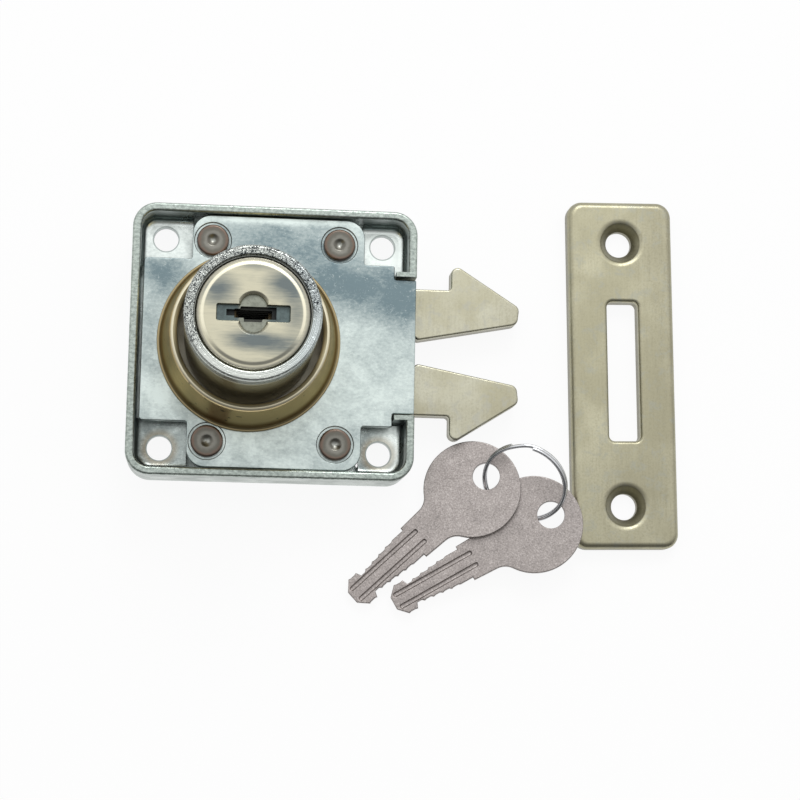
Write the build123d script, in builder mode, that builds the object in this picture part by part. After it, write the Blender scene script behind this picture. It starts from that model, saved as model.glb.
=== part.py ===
# Cabinet lock with two hooks that fold together, its strike plate, and two keys on a split ring.
# The origin is on the barrel's axis in the plane of the case's rim, which meets the door.
# +Z points out through the door, +X towards the hooks and +Y towards the upper hook.
# Lengths are in millimetres and angles in degrees.
import os
from math import sqrt

from build123d import *

os.makedirs("parts", exist_ok=True)

# Case
case_width = 40.2
case_height = 38.5
barrel_inset = 16.7
case_wall = 1.2
case_corner_radius = 3.4
case_back_rounding = 1.2
rim_rounding = 0.35
gap_clearance = 0.7
return_thickness = 0.65
return_length = 2.9
seat_depth = 5.0
seat_thickness = 1.2
seat_fillet = 1.1

# Screws of the case, with room for their heads behind the corner seats
screw_inset_x = 4.6
screw_inset_y = 4.25
screw_hole_radius = 1.75
screw_head_radius = 3.3

# Cover plate
cover_recess = 1.0
cover_thickness = 1.2
cover_clearance = 0.15
cover_band_gap = 0.5
cover_arm_inset_left = 8.4
cover_arm_inset_right = 7.45
cover_arm_radius = 2.6
cover_small_radius = 0.5
cover_step = 1.0
cover_step_clearance = 0.2
seat_overlap = 0.65
tab_clearance = 0.3

# Rivets between case and cover
rivet_inset_left = 2.85
rivet_inset_right = 3.6
rivet_row_inset = 3.8
rivet_spacer_radius = 2.0
rivet_neck_radius = 1.4
rivet_head_radius = 2.25
rivet_head_height = 0.75
rivet_head_rounding = 0.3
rivet_dimple_radius = 0.85
rivet_dimple_depth = 0.35
rivet_seat_radius = 2.6
rivet_seat_depth = 0.3
press_clearance = 0.01

# Barrel, front ring, collar and nut
barrel_radius = 9.0
barrel_length = 22.0
barrel_foot_relief = 0.3
barrel_neck_wall = 1.64
barrel_neck_clearance = 0.05
barrel_groove_depth = 1.2
barrel_groove_clearance = 0.25
front_ring_length = 3.4
front_ring_wall = 0.6
front_ring_lip = 0.9
front_ring_gap = 0.17
front_ring_rounding = 0.4
ring_seat_clearance = 0.04
collar_clearance = 0.16
collar_seat_clearance = 0.05
collar_height = 8.35
collar_sheet = 0.5
collar_flange_width = 0.45
collar_flare = 0.15
collar_crest_gap = 1.45
collar_shoulder = 0.6
collar_lip_gap = 0.95
collar_lip_drop = 0.3
nut_width = 1.7
nut_thickness = 0.9
nut_flat_depth = 0.5

# Plug and cap
plug_radius = 6.0
plug_clearance = 0.06
plug_head_step = 1.05
plug_head_length = 1.5
cap_thickness = 0.65
cap_recess = 0.4
cap_skirt = 1.25
cap_wall = 0.4
cap_edge_rounding = 0.3
cap_fit = 0.03
cap_slot_width = 9.4
cap_slot_height = 2.05
cap_eye_width = 3.5
cap_eye_height = 5.0
keyway_width = 4.9
keyway_height = 1.2
keyway_end_room = 1.3
mouth_depth = 1.0
mouth_outline = (
    (-3.5, 0.5),
    (-1.8, 0.5),
    (-1.6, 0.92),
    (3.0, 0.92),
    (3.0, -0.72),
    (1.25, -0.72),
    (1.1, -1.1),
    (-1.2, -1.1),
    (-1.3, 0.15),
    (-1.85, -0.34),
    (-3.5, -0.34),
)

# Wafers and their springs
wafer_pitch = 1.4
wafer_thickness = 0.9
wafer_width = 6.0
wafer_travel = 0.7
wafer_land = 0.05
wafer_slot_clearance = 0.05
wafer_side_clearance = 0.08
wafer_end_clearance = 0.06
window_clearance = 0.15
window_bearing_clearance = 0.05
ear_start = 0.2
ear_length = 1.2
ear_height = 1.3
spring_pocket_length = 2.4
spring_wire = 0.18
spring_radius = 0.32
spring_turns = 4
spring_wire_sides = 8
spring_end_clearance = 0.06

# Clip, driver and screw on the plug's tail
clip_thickness = 0.5
clip_reach = 1.2
clip_groove_depth = 1.0
clip_gap = 4.0
clip_clearance = 0.08
clip_side_clearance = 0.03
plug_land = 0.29
tail_side = 4.0
tail_clearance = 0.04
driver_thickness = 1.0
driver_rim = 1.4
driver_gap = 0.2
screw_shank_radius = 1.0
screw_shank_length = 4.0
screw_tip_room = 0.1
driver_screw_head_height = 1.0
driver_screw_head_clearance = 0.2
driver_screw_slot = 0.6
driver_screw_slot_depth = 0.5

# Hooks with their pivot and cam pins
hook_thickness = 3.0
hook_floor_clearance = 0.1
hook_swing = 10.5
plug_turn = 90.0
pivot_inset = 7.5
pivot_y = 4.4
pivot_radius = 1.5
pivot_clearance = 0.05
pivot_shoulder_radius = 2.1
pivot_shoulder_clearance = 0.1
cam_x = 0.0
cam_y = 4.6
cam_radius = 1.2
cam_clearance = 0.06
cam_end_clearance = 0.1
tail_half_width = 1.9
tail_rounding = 1.85
hook_outer_y = 9.2
hook_shoulder_radius = 3.0
hook_gap = 5.5
barb_length = 10.05
barb_top_y = 13.38
barb_top_radius = 1.0
barb_foot_radius = 0.5
tip_top_y = 6.98
tip_bottom_y = 4.46
tip_lean = 0.3
tip_radius = 1.1
heel_reach = 0.85
heel_y = 1.72
heel_radius = 0.7
belly_y = 2.5
belly_inset = 0.5
belly_radius = 1.0
hook_edge_rounding = 0.3

# Strike plate
strike_width = 15.5
strike_length = 51.2
strike_height = 2.6
strike_sheet = 1.1
strike_from_tips = 15.65
strike_y = -1.85
strike_turn_angle = 1.45
strike_corner_radius = 2.2
strike_edge_rounding = 1.0
strike_slot_width = 4.6
strike_slot_length = 20.5
strike_slot_shift_x = 0.15
strike_slot_shift_y = 0.35
strike_slot_corner = 0.8
strike_slot_rounding = 0.5
strike_hole_spacing = 38.85
strike_hole_radius = 1.9
strike_sink_radius = 3.1
strike_sink_depth = 1.5

# Keys
key_thickness = 0.9
bow_radius = 7.0
bow_hole_radius = 1.95
bow_hole_offset = 2.75
bow_edge_rounding = 0.2
neck_root_half_width = 3.2
neck_half_width = 2.75
neck_length = 11.4
neck_fillet = 2.5
blade_half_width = 2.3
blade_nose_length = 2.0
blade_point_length = 1.3
blade_point_half_width = 0.95
key_cut_half_widths = (2.15, 2.0, 1.85, 1.7, 1.5, 2.2)
cut_flat_half = 0.35
cut_ridge = 0.1
groove_width = 0.55
groove_depth = 0.3
groove_offset = 0.95
groove_lead = 1.6

# Split ring
ring_radius = 5.944
ring_wire_radius = 0.28
ring_turn_gap = 0.03
ring_step_start = 20.0
ring_step_angle = 32.0

# Where the keys and the ring lie, with X from the hooks' tips: the middle of each bow and of the ring, and how
# they lean
key_1_place = (-6.329, -19.453, -6.972)
key_1_heading_angle = 223.3
key_1_dip_angle = 4.255
key_1_roll_angle = 9.077
key_2_place = (2.644, -24.295, -6.435)
key_2_heading_angle = 210.5
key_2_dip_angle = 5.851
key_2_roll_angle = 6.48
ring_place = (0.989, -18.455, -5.089)
ring_uphill_angle = 56.27
ring_tilt_angle = 41.06

# Levels, from the rim down to the table
cover_top = -cover_recess
cover_bottom = cover_top - cover_thickness
nut_bottom = cover_bottom - nut_thickness
clip_top = nut_bottom - clip_clearance
clip_bottom = clip_top - clip_thickness
driver_top = clip_bottom - clip_side_clearance - plug_land
driver_bottom = driver_top - driver_thickness
hook_top = driver_bottom - driver_gap
hook_bottom = hook_top - hook_thickness
floor_z = hook_bottom - hook_floor_clearance
table_z = floor_z - case_wall
seat_top = -seat_depth
rivet_seat = cover_top - rivet_seat_depth

# Levels of the cylinder, from its front inwards
front_ring_back = barrel_length - front_ring_length
lip_back = barrel_length - front_ring_lip
cap_top = barrel_length - cap_recess
cap_bottom = cap_top - cap_skirt
cap_back = cap_top - cap_thickness
plug_head_back = cap_back - plug_head_length
head_seat = plug_head_back - plug_clearance
wafer_slot_height = wafer_thickness + 2 * wafer_slot_clearance
wafer_count = len(key_cut_half_widths)
first_wafer = plug_head_back - wafer_land - wafer_slot_clearance - wafer_thickness
wafer_levels = [first_wafer - i * wafer_pitch for i in range(wafer_count)]
wafer_sides = [1 if i % 2 == 0 else -1 for i in range(wafer_count)]
cut_distances = [cap_top - level - wafer_thickness / 2 for level in wafer_levels]
blade_length = cut_distances[-1] + blade_nose_length
keyway_bottom = cap_top - blade_length - keyway_end_room

# Places across the case
case_left = -barrel_inset
backset = case_width - barrel_inset
case_middle = backset - case_width / 2
inner_width = case_width - 2 * case_wall
inner_height = case_height - 2 * case_wall
inner_radius = case_corner_radius - case_wall
gap_half = hook_outer_y + gap_clearance
return_outer = gap_half + return_thickness
cover_band_half = return_outer + cover_step
seat_inner_edge = cover_band_half - seat_overlap
cover_arm_left = case_left + cover_arm_inset_left
cover_arm_right = backset - cover_arm_inset_right
cover_arms_middle = (cover_arm_left + cover_arm_right) / 2
cover_arms_width = cover_arm_right - cover_arm_left
cover_step_x = backset - return_length - cover_step_clearance
screw_x = case_width / 2 - screw_inset_x
screw_y = case_height / 2 - screw_inset_y
case_screws = [(case_middle + sx * screw_x, sy * screw_y) for sx in (-1, 1) for sy in (-1, 1)]
rivet_columns = (cover_arm_left + rivet_inset_left, cover_arm_right - rivet_inset_right)
rivet_row = inner_height / 2 - rivet_row_inset
rivets = [(x, side * rivet_row) for x in rivet_columns for side in (-1, 1)]
pivot_x = backset - pivot_inset
pivots = [(pivot_x, side * pivot_y) for side in (-1, 1)]

# Radii of the cylinder
barrel_bore = plug_radius + plug_clearance
barrel_neck_radius = barrel_bore + barrel_neck_wall
barrel_front_radius = barrel_radius - front_ring_wall
barrel_foot_radius = barrel_radius - barrel_foot_relief
collar_radius = Vector(*rivets[0]).length - rivet_head_radius - collar_clearance
plug_head_radius = plug_radius + plug_head_step
cap_inner_radius = plug_head_radius + cap_fit
cap_outer_radius = cap_inner_radius + cap_wall
head_counterbore = cap_outer_radius + plug_clearance
wafer_radius = plug_radius - wafer_slot_clearance
wafer_slot_width = wafer_width + 2 * wafer_side_clearance
clip_groove_radius = plug_radius - clip_groove_depth
ear_middle_y = wafer_width / 2 + ear_height / 2


# The case is a tray with four corner seats and a gap in its hook side
with BuildPart() as case:
    with BuildSketch(Plane((case_middle, 0, table_z))):
        RectangleRounded(case_width, case_height, case_corner_radius)
    extrude(amount=-table_z)
    fillet(case.edges().group_by(Axis.Z)[0], case_back_rounding)
    with BuildSketch(Plane((case_middle, 0, seat_top))):
        RectangleRounded(inner_width, inner_height, inner_radius)
    extrude(amount=seat_depth, mode=Mode.SUBTRACT)
    with BuildSketch(Plane.XY.offset(floor_z)):
        with Locations((cover_arms_middle, 0)):
            Rectangle(cover_arms_width, inner_height)
        with Locations((case_middle, 0)):
            Rectangle(inner_width, 2 * seat_inner_edge)
    extrude(amount=seat_top - floor_z, mode=Mode.SUBTRACT)
    seat_edges = case.edges().filter_by_position(Axis.Z, seat_top, seat_top)
    fillet(seat_edges.filter_by(Edge.is_interior), seat_fillet)
    fillet(case.edges().group_by(Axis.Z)[-1], rim_rounding)
    with BuildSketch(Plane((backset - case_wall / 2, 0, floor_z))):
        Rectangle(2 * case_wall, 2 * gap_half)
    extrude(amount=-floor_z, mode=Mode.SUBTRACT)
    # The two returns turn in from the ends of the wall
    with BuildSketch(Plane.XY.offset(floor_z)):
        for side in (-1, 1):
            with Locations((backset - (return_length + case_wall / 2) / 2, side * (gap_half + return_outer) / 2)):
                Rectangle(return_length - case_wall / 2, return_thickness)
    extrude(amount=-floor_z)
    with Locations(*[(x, y, seat_top) for x, y in case_screws]):
        Hole(screw_hole_radius)
    with Locations(*[(x, y, floor_z) for x, y in rivets]):
        Hole(rivet_neck_radius + press_clearance)
    with Locations(*[(x, y, floor_z) for x, y in pivots]):
        Hole(pivot_radius + press_clearance)
    # Room behind the seats for the screws' heads
    with BuildSketch(Plane.XY.offset(table_z)):
        with Locations(*case_screws):
            Circle(screw_head_radius)
    extrude(amount=seat_top - seat_thickness - table_z, mode=Mode.SUBTRACT)
case.part.label = "case"
export_step(case.part, "parts/case.step")

# The cover plate is a cross with a tab over the gap
with BuildPart() as cover_plate:
    with BuildSketch(Plane.XY.offset(cover_bottom)):
        with Locations((cover_arms_middle, 0)):
            RectangleRounded(cover_arms_width, inner_height - 2 * cover_clearance, cover_arm_radius)
        band_left = case_left + case_wall + cover_band_gap
        with Locations(((band_left + cover_step_x) / 2, 0)):
            RectangleRounded(cover_step_x - band_left, 2 * cover_band_half, cover_small_radius)
        with Locations(((cover_step_x + backset) / 2 - cover_step, 0)):
            Rectangle(backset - cover_step_x + 2 * cover_step, 2 * (gap_half - tab_clearance))
    extrude(amount=cover_thickness)
    with BuildSketch(Plane.XY.offset(cover_top)):
        with Locations(*rivets):
            Circle(rivet_seat_radius)
    extrude(amount=-rivet_seat_depth, mode=Mode.SUBTRACT)
    with Locations(*[(x, y, cover_top) for x, y in rivets]):
        Hole(rivet_neck_radius + press_clearance)
    with Locations((0, 0, cover_top)):
        Hole(barrel_neck_radius + barrel_neck_clearance)
cover_plate.part.label = "cover_plate"
export_step(cover_plate.part, "parts/cover_plate.step")

# Each rivet has a tail in the case's floor, a spacer, and a peened head with a dimple
with BuildPart() as cover_rivets:
    with BuildSketch(Plane.XY.offset(table_z)):
        with Locations(*rivets):
            Circle(rivet_neck_radius)
    extrude(amount=rivet_seat - table_z)
    with BuildSketch(Plane.XY.offset(floor_z)):
        with Locations(*rivets):
            Circle(rivet_spacer_radius)
    extrude(amount=cover_bottom - floor_z)
    with BuildSketch(Plane.XY.offset(rivet_seat)):
        with Locations(*rivets):
            Circle(rivet_head_radius)
    extrude(amount=rivet_head_height)
    fillet(cover_rivets.edges().group_by(Axis.Z)[-1], rivet_head_rounding)
    with BuildSketch(Plane.XY.offset(rivet_seat + rivet_head_height)):
        with Locations(*rivets):
            Circle(rivet_dimple_radius)
    extrude(amount=-rivet_dimple_depth, mode=Mode.SUBTRACT)
cover_rivets.part.label = "cover_rivets"
export_step(cover_rivets.part, "parts/cover_rivets.step")

# Pivot pins stand in the floor, carry the hooks and end in a shoulder under the cover
with BuildPart() as pivot_pins:
    with BuildSketch(Plane.XY.offset(table_z)):
        with Locations(*pivots):
            Circle(pivot_radius)
    extrude(amount=cover_bottom - table_z)
    with BuildSketch(Plane.XY.offset(hook_top + pivot_shoulder_clearance)):
        with Locations(*pivots):
            Circle(pivot_shoulder_radius)
    extrude(amount=cover_bottom - hook_top - pivot_shoulder_clearance)
pivot_pins.part.label = "pivot_pins"
export_step(pivot_pins.part, "parts/pivot_pins.step")

# The barrel is turned, with a neck through the cover and four grooves for the wafers
with BuildPart() as barrel:
    with BuildSketch(Plane.XZ):
        with BuildLine():
            Polyline(
                (barrel_bore, nut_bottom),
                (barrel_neck_radius, nut_bottom),
                (barrel_neck_radius, cover_top),
                (barrel_foot_radius, cover_top),
                (barrel_foot_radius, 0),
                (barrel_radius, 0),
                (barrel_radius, front_ring_back),
                (barrel_front_radius, front_ring_back),
                (barrel_front_radius, lip_back),
                (head_counterbore, lip_back),
                (head_counterbore, head_seat),
                (barrel_bore, head_seat),
                close=True,
            )
        make_face()
    revolve(axis=Axis.Z)
    with BuildSketch(Plane.XY.offset(keyway_bottom)):
        barrel_groove_width = wafer_width + 2 * barrel_groove_clearance
        Rectangle(2 * barrel_radius, barrel_groove_width)
        Rectangle(barrel_groove_width, 2 * barrel_radius)
        Circle(barrel_bore + barrel_groove_depth, mode=Mode.INTERSECT)
    extrude(amount=head_seat - keyway_bottom, mode=Mode.SUBTRACT)
barrel.part.label = "barrel"
export_step(barrel.part, "parts/barrel.step")

# The nut clamps the barrel to the cover from behind
with BuildPart() as barrel_nut:
    nut_radius = barrel_neck_radius + nut_width
    with BuildSketch(Plane.XY.offset(nut_bottom)):
        Circle(nut_radius)
        Rectangle(2 * nut_radius, 2 * (nut_radius - nut_flat_depth), mode=Mode.INTERSECT)
        Circle(barrel_neck_radius + barrel_neck_clearance, mode=Mode.SUBTRACT)
    extrude(amount=nut_thickness)
barrel_nut.part.label = "barrel_nut"
export_step(barrel_nut.part, "parts/barrel_nut.step")

# The collar is a bell of thin sheet that stands loose on the cover round the barrel, with its rim turned in
with BuildPart() as base_collar:
    collar_foot = cover_top + collar_seat_clearance
    collar_top = cover_top + collar_height
    crest_radius = barrel_radius + collar_crest_gap
    lip_radius = barrel_radius + collar_lip_gap
    wall_foot = (collar_radius - collar_flange_width, collar_foot + collar_sheet)
    wall_top = (crest_radius + collar_shoulder, collar_top - collar_shoulder)
    wall_middle = ((wall_foot[0] + wall_top[0]) / 2 - collar_flare, (wall_foot[1] + wall_top[1]) / 2)
    shoulder_middle = (
        crest_radius + collar_shoulder * sqrt(0.5),
        collar_top - collar_shoulder + collar_shoulder * sqrt(0.5),
    )
    with BuildSketch(Plane.XZ):
        with BuildLine():
            Polyline(
                (collar_radius - collar_flange_width - collar_sheet, collar_foot),
                (collar_radius, collar_foot),
                (collar_radius, collar_foot + collar_sheet),
                wall_foot,
            )
            ThreePointArc(wall_foot, wall_middle, wall_top)
            ThreePointArc(wall_top, shoulder_middle, (crest_radius, collar_top))
            Polyline(
                (crest_radius, collar_top),
                (lip_radius, collar_top - collar_lip_drop),
                (lip_radius, collar_top - collar_lip_drop - collar_sheet),
                (crest_radius, collar_top - collar_sheet),
                (wall_top[0] - collar_sheet, wall_top[1]),
            )
            ThreePointArc(
                (wall_top[0] - collar_sheet, wall_top[1]),
                (wall_middle[0] - collar_sheet, wall_middle[1]),
                (collar_radius - collar_flange_width - collar_sheet, collar_foot),
            )
        make_face()
    revolve(axis=Axis.Z)
base_collar.part.label = "base_collar"
export_step(base_collar.part, "parts/base_collar.step")

# The front ring is pressed over the barrel's stepped front, and its lip hides the cap's edge
with BuildPart() as front_ring:
    ring_seat_radius = barrel_front_radius + ring_seat_clearance
    front_opening_radius = cap_outer_radius + front_ring_gap
    with BuildSketch(Plane.XZ):
        with BuildLine():
            Polyline(
                (ring_seat_radius, front_ring_back),
                (barrel_radius, front_ring_back),
                (barrel_radius, barrel_length),
                (front_opening_radius, barrel_length),
                (front_opening_radius, lip_back),
                (ring_seat_radius, lip_back),
                close=True,
            )
        make_face()
    revolve(axis=Axis.Z)
    fillet(front_ring.edges().group_by(Axis.Z)[-1], front_ring_rounding)
front_ring.part.label = "front_ring"
export_step(front_ring.part, "parts/front_ring.step")

# The plug turns in the barrel, and its keyway opens behind a wider shaped mouth
with BuildPart() as plug:
    with BuildSketch(Plane.XZ):
        with BuildLine():
            Polyline(
                (0, driver_top),
                (plug_radius, driver_top),
                (plug_radius, clip_bottom - clip_side_clearance),
                (clip_groove_radius, clip_bottom - clip_side_clearance),
                (clip_groove_radius, clip_top + clip_side_clearance),
                (plug_radius, clip_top + clip_side_clearance),
                (plug_radius, plug_head_back),
                (plug_head_radius, plug_head_back),
                (plug_head_radius, cap_back),
                (0, cap_back),
                close=True,
            )
        make_face()
    revolve(axis=Axis.Z)
    with BuildSketch(Plane.XY.offset(driver_bottom)):
        Rectangle(tail_side, tail_side)
    extrude(amount=driver_thickness)
    with BuildSketch(Plane.XY.offset(driver_bottom)):
        Circle(screw_shank_radius + press_clearance)
    extrude(amount=screw_shank_length + screw_tip_room, mode=Mode.SUBTRACT)
    with BuildSketch(Plane.XY.offset(cap_back)):
        with BuildLine():
            Polyline(*mouth_outline, close=True)
        make_face()
    extrude(amount=-mouth_depth, mode=Mode.SUBTRACT)
    with BuildSketch(Plane.XY.offset(cap_back)):
        Rectangle(keyway_width, keyway_height)
    extrude(amount=keyway_bottom - cap_back, mode=Mode.SUBTRACT)
    # Each wafer has a slot across the plug and a pocket for its ear and spring
    pocket_start = ear_start - spring_pocket_length
    pocket_end = ear_start + ear_length + wafer_travel + wafer_end_clearance
    for level, side in zip(wafer_levels, wafer_sides):
        with BuildSketch(Plane.XY.offset(level - wafer_slot_clearance)):
            Rectangle(2 * barrel_radius, wafer_slot_width)
            with Locations((side * (pocket_start + pocket_end) / 2, ear_middle_y)):
                Rectangle(pocket_end - pocket_start, ear_height + 2 * wafer_side_clearance)
        extrude(amount=wafer_slot_height, mode=Mode.SUBTRACT)
plug.part.label = "plug"
export_step(plug.part, "parts/plug.step")

# The cap is pressed over the plug's head and shows the key slot and a tall eye across its middle
with BuildPart() as plug_cap:
    with BuildSketch(Plane.XY.offset(cap_bottom)):
        Circle(cap_outer_radius)
    extrude(amount=cap_skirt)
    fillet(plug_cap.edges().group_by(Axis.Z)[-1], cap_edge_rounding)
    with BuildSketch(Plane.XY.offset(cap_bottom)):
        Circle(cap_inner_radius)
    extrude(amount=cap_skirt - cap_thickness, mode=Mode.SUBTRACT)
    with BuildSketch(Plane.XY.offset(cap_top)):
        Rectangle(cap_slot_width, cap_slot_height)
        SlotOverall(cap_eye_height, cap_eye_width, rotation=90)
    extrude(amount=-cap_thickness, mode=Mode.SUBTRACT)
plug_cap.part.label = "plug_cap"
export_step(plug_cap.part, "parts/plug_cap.step")

# Wafers slide across the plug into the barrel's grooves, every other one the other way
for i in range(wafer_count):
    side = wafer_sides[i]
    window_back = key_cut_half_widths[i] + window_bearing_clearance
    window_front = keyway_width / 2 + wafer_travel
    with BuildPart() as wafer:
        with BuildSketch(Plane.XY.offset(wafer_levels[i])):
            Circle(wafer_radius)
            Rectangle(2 * barrel_radius, wafer_width, mode=Mode.INTERSECT)
            with Locations((side * (ear_start + ear_length / 2), ear_middle_y)):
                Rectangle(ear_length, ear_height)
            with Locations((side * (window_front - window_back) / 2, 0)):
                Rectangle(window_front + window_back, keyway_height + 2 * window_clearance, mode=Mode.SUBTRACT)
        extrude(amount=wafer_thickness)
    wafer.part.label = f"wafer_{i + 1}"
    export_step(wafer.part, f"parts/wafer_{i + 1}.step")

# One coil spring pushes on each wafer's ear
with BuildPart() as wafer_springs:
    spring_margin = spring_end_clearance + spring_wire / 2
    spring_length = spring_pocket_length - 2 * spring_margin
    spring_start = ear_start - spring_pocket_length + spring_margin
    for level, side in zip(wafer_levels, wafer_sides):
        with BuildLine() as coil:
            Helix(
                pitch=spring_length / spring_turns,
                height=spring_length,
                radius=spring_radius,
                center=(side * spring_start, ear_middle_y, level + wafer_thickness / 2),
                direction=(side, 0, 0),
            )
        with BuildSketch(Plane(origin=coil.line @ 0, z_dir=coil.line % 0)):
            RegularPolygon(spring_wire / 2, spring_wire_sides)
        sweep(path=coil.line, is_frenet=True)
wafer_springs.part.label = "wafer_springs"
export_step(wafer_springs.part, "parts/wafer_springs.step")

# The clip snaps into the plug's groove behind the barrel
with BuildPart() as plug_clip:
    clip_outer_radius = plug_radius + clip_reach
    with BuildSketch(Plane.XY.offset(clip_bottom)):
        Circle(clip_outer_radius)
        Circle(clip_groove_radius + clip_side_clearance, mode=Mode.SUBTRACT)
        with Locations((clip_outer_radius, 0)):
            Rectangle(clip_outer_radius, clip_gap, mode=Mode.SUBTRACT)
    extrude(amount=clip_thickness)
plug_clip.part.label = "plug_clip"
export_step(plug_clip.part, "parts/plug_clip.step")


def cam_place(side, turn):
    """A cam pin's place in the driver's own frame, once the plug has turned by so many degrees."""
    pivot = Vector(pivot_x, side * pivot_y)
    arm = Vector(cam_x - pivot_x, side * (cam_y - pivot_y))
    swung = pivot + arm.rotate(Axis.Z, -side * hook_swing * turn / plug_turn)
    return swung.rotate(Axis.Z, -turn)


# The driver's two spiral slots swing the hooks in a steady ratio to the plug
with BuildPart() as driver_plate:
    slot_radius = cam_radius + cam_clearance
    slot_steps = 12
    with BuildSketch(Plane.XY.offset(driver_bottom)):
        Circle(cam_place(1, plug_turn).length + slot_radius + driver_rim)
        Rectangle(tail_side + 2 * tail_clearance, tail_side + 2 * tail_clearance, mode=Mode.SUBTRACT)
        for side in (1, -1):
            with BuildLine():
                Spline(*[cam_place(side, plug_turn * step / slot_steps) for step in range(slot_steps + 1)])
            trace(line_width=2 * slot_radius, mode=Mode.SUBTRACT)
            with Locations(cam_place(side, 0), cam_place(side, plug_turn)):
                Circle(slot_radius, mode=Mode.SUBTRACT)
    extrude(amount=driver_thickness)
driver_plate.part.label = "driver_plate"
export_step(driver_plate.part, "parts/driver_plate.step")

# The driver's screw has a slotted head that passes between the hooks' tails
with BuildPart() as driver_screw:
    screw_head = cam_y - tail_half_width - driver_screw_head_clearance
    with BuildSketch(Plane.XY.offset(driver_bottom)):
        Circle(screw_shank_radius)
    extrude(amount=screw_shank_length)
    with BuildSketch(Plane.XY.offset(driver_bottom)):
        Circle(screw_head)
    extrude(amount=-driver_screw_head_height)
    with BuildSketch(Plane.XY.offset(driver_bottom - driver_screw_head_height)):
        Rectangle(2 * screw_head, driver_screw_slot)
    extrude(amount=driver_screw_slot_depth, mode=Mode.SUBTRACT)
driver_screw.part.label = "driver_screw"
export_step(driver_screw.part, "parts/driver_screw.step")

# Each hook is a barbed plate with a pivot bore, and carries a cam pin in its tail
barb_back = backset + hook_gap
tip_x = barb_back + barb_length
hook_corners = (
    (cam_x - tail_half_width, cam_y - tail_half_width, tail_rounding),
    (backset - belly_inset, belly_y, belly_radius),
    (backset + heel_reach, heel_y, heel_radius),
    (tip_x - tip_lean, tip_bottom_y, tip_radius),
    (tip_x, tip_top_y, tip_radius),
    (barb_back, barb_top_y, barb_top_radius),
    (barb_back, hook_outer_y, barb_foot_radius),
    (pivot_x, hook_outer_y, hook_shoulder_radius),
    (cam_x - tail_half_width, cam_y + tail_half_width, tail_rounding),
)
for name, side in (("upper", 1), ("lower", -1)):
    with BuildPart() as hook:
        with BuildSketch(Plane.XY.offset(hook_bottom)):
            with BuildLine():
                FilletPolyline(
                    *[(x, side * y) for x, y, corner in hook_corners],
                    radius=[corner for x, y, corner in hook_corners],
                    close=True,
                )
            make_face()
        extrude(amount=hook_thickness)
        fillet(hook.edges().group_by(Axis.Z)[-1] + hook.edges().group_by(Axis.Z)[0], hook_edge_rounding)
        with Locations((pivot_x, side * pivot_y, hook_top)):
            Hole(pivot_radius + pivot_clearance)
        with Locations((cam_x, side * cam_y, hook_top)):
            Hole(cam_radius + press_clearance)
    hook.part.label = f"{name}_hook"
    export_step(hook.part, f"parts/{name}_hook.step")
    with BuildPart() as cam_pin:
        with BuildSketch(Plane.XY.offset(hook_bottom)):
            with Locations((cam_x, side * cam_y)):
                Circle(cam_radius)
        extrude(amount=driver_top - cam_end_clearance - hook_bottom)
    cam_pin.part.label = f"{name}_cam_pin"
    export_step(cam_pin.part, f"parts/{name}_cam_pin.step")

# The strike plate is pressed sheet with turned-down edges, a flanged slot and dished holes
strike_plane = Plane((tip_x + strike_from_tips, strike_y, table_z)).rotated((0, 0, strike_turn_angle))
with BuildPart() as strike_plate:
    with BuildSketch(strike_plane):
        RectangleRounded(strike_width, strike_length, strike_corner_radius)
    extrude(amount=strike_height)
    fillet(strike_plate.edges().group_by(Axis.Z)[-1], strike_edge_rounding)
    with BuildSketch(strike_plane):
        RectangleRounded(
            strike_width - 2 * strike_sheet,
            strike_length - 2 * strike_sheet,
            strike_corner_radius - strike_sheet,
        )
        with Locations((strike_slot_shift_x, strike_slot_shift_y)):
            RectangleRounded(
                strike_slot_width + 2 * strike_sheet,
                strike_slot_length + 2 * strike_sheet,
                strike_slot_corner + strike_sheet,
                mode=Mode.SUBTRACT,
            )
        with GridLocations(0, strike_hole_spacing, 1, 2):
            Circle(strike_sink_radius + strike_sheet / 2, mode=Mode.SUBTRACT)
    extrude(amount=strike_height - strike_sheet, mode=Mode.SUBTRACT)
    with BuildSketch(strike_plane):
        with Locations((strike_slot_shift_x, strike_slot_shift_y)):
            RectangleRounded(strike_slot_width, strike_slot_length, strike_slot_corner)
    extrude(amount=strike_height, mode=Mode.SUBTRACT)
    slot_rim = strike_plate.faces().sort_by(Axis.Z)[-1].inner_wires().edges()
    fillet(slot_rim, strike_slot_rounding)
    with BuildSketch(strike_plane):
        with GridLocations(0, strike_hole_spacing, 1, 2):
            Circle(strike_hole_radius)
    extrude(amount=strike_height, mode=Mode.SUBTRACT)
    for side in (-1, 1):
        with BuildSketch(strike_plane.offset(strike_height)):
            with Locations((0, side * strike_hole_spacing / 2)):
                Circle(strike_sink_radius)
        with BuildSketch(strike_plane.offset(strike_height - strike_sink_depth)):
            with Locations((0, side * strike_hole_spacing / 2)):
                Circle(strike_hole_radius)
        loft(mode=Mode.SUBTRACT)
strike_plate.part.label = "strike_plate"
export_step(strike_plate.part, "parts/strike_plate.step")


def lying_plane(place, heading, pitch, roll):
    """A plane beyond the hooks' tips whose X runs along a heading, dips by the pitch, and rolls about that X."""
    return Plane(Pos(tip_x, 0, 0) * Pos(*place) * Rot(0, 0, heading) * Rot(0, pitch, 0) * Rot(roll, 0, 0))


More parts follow.
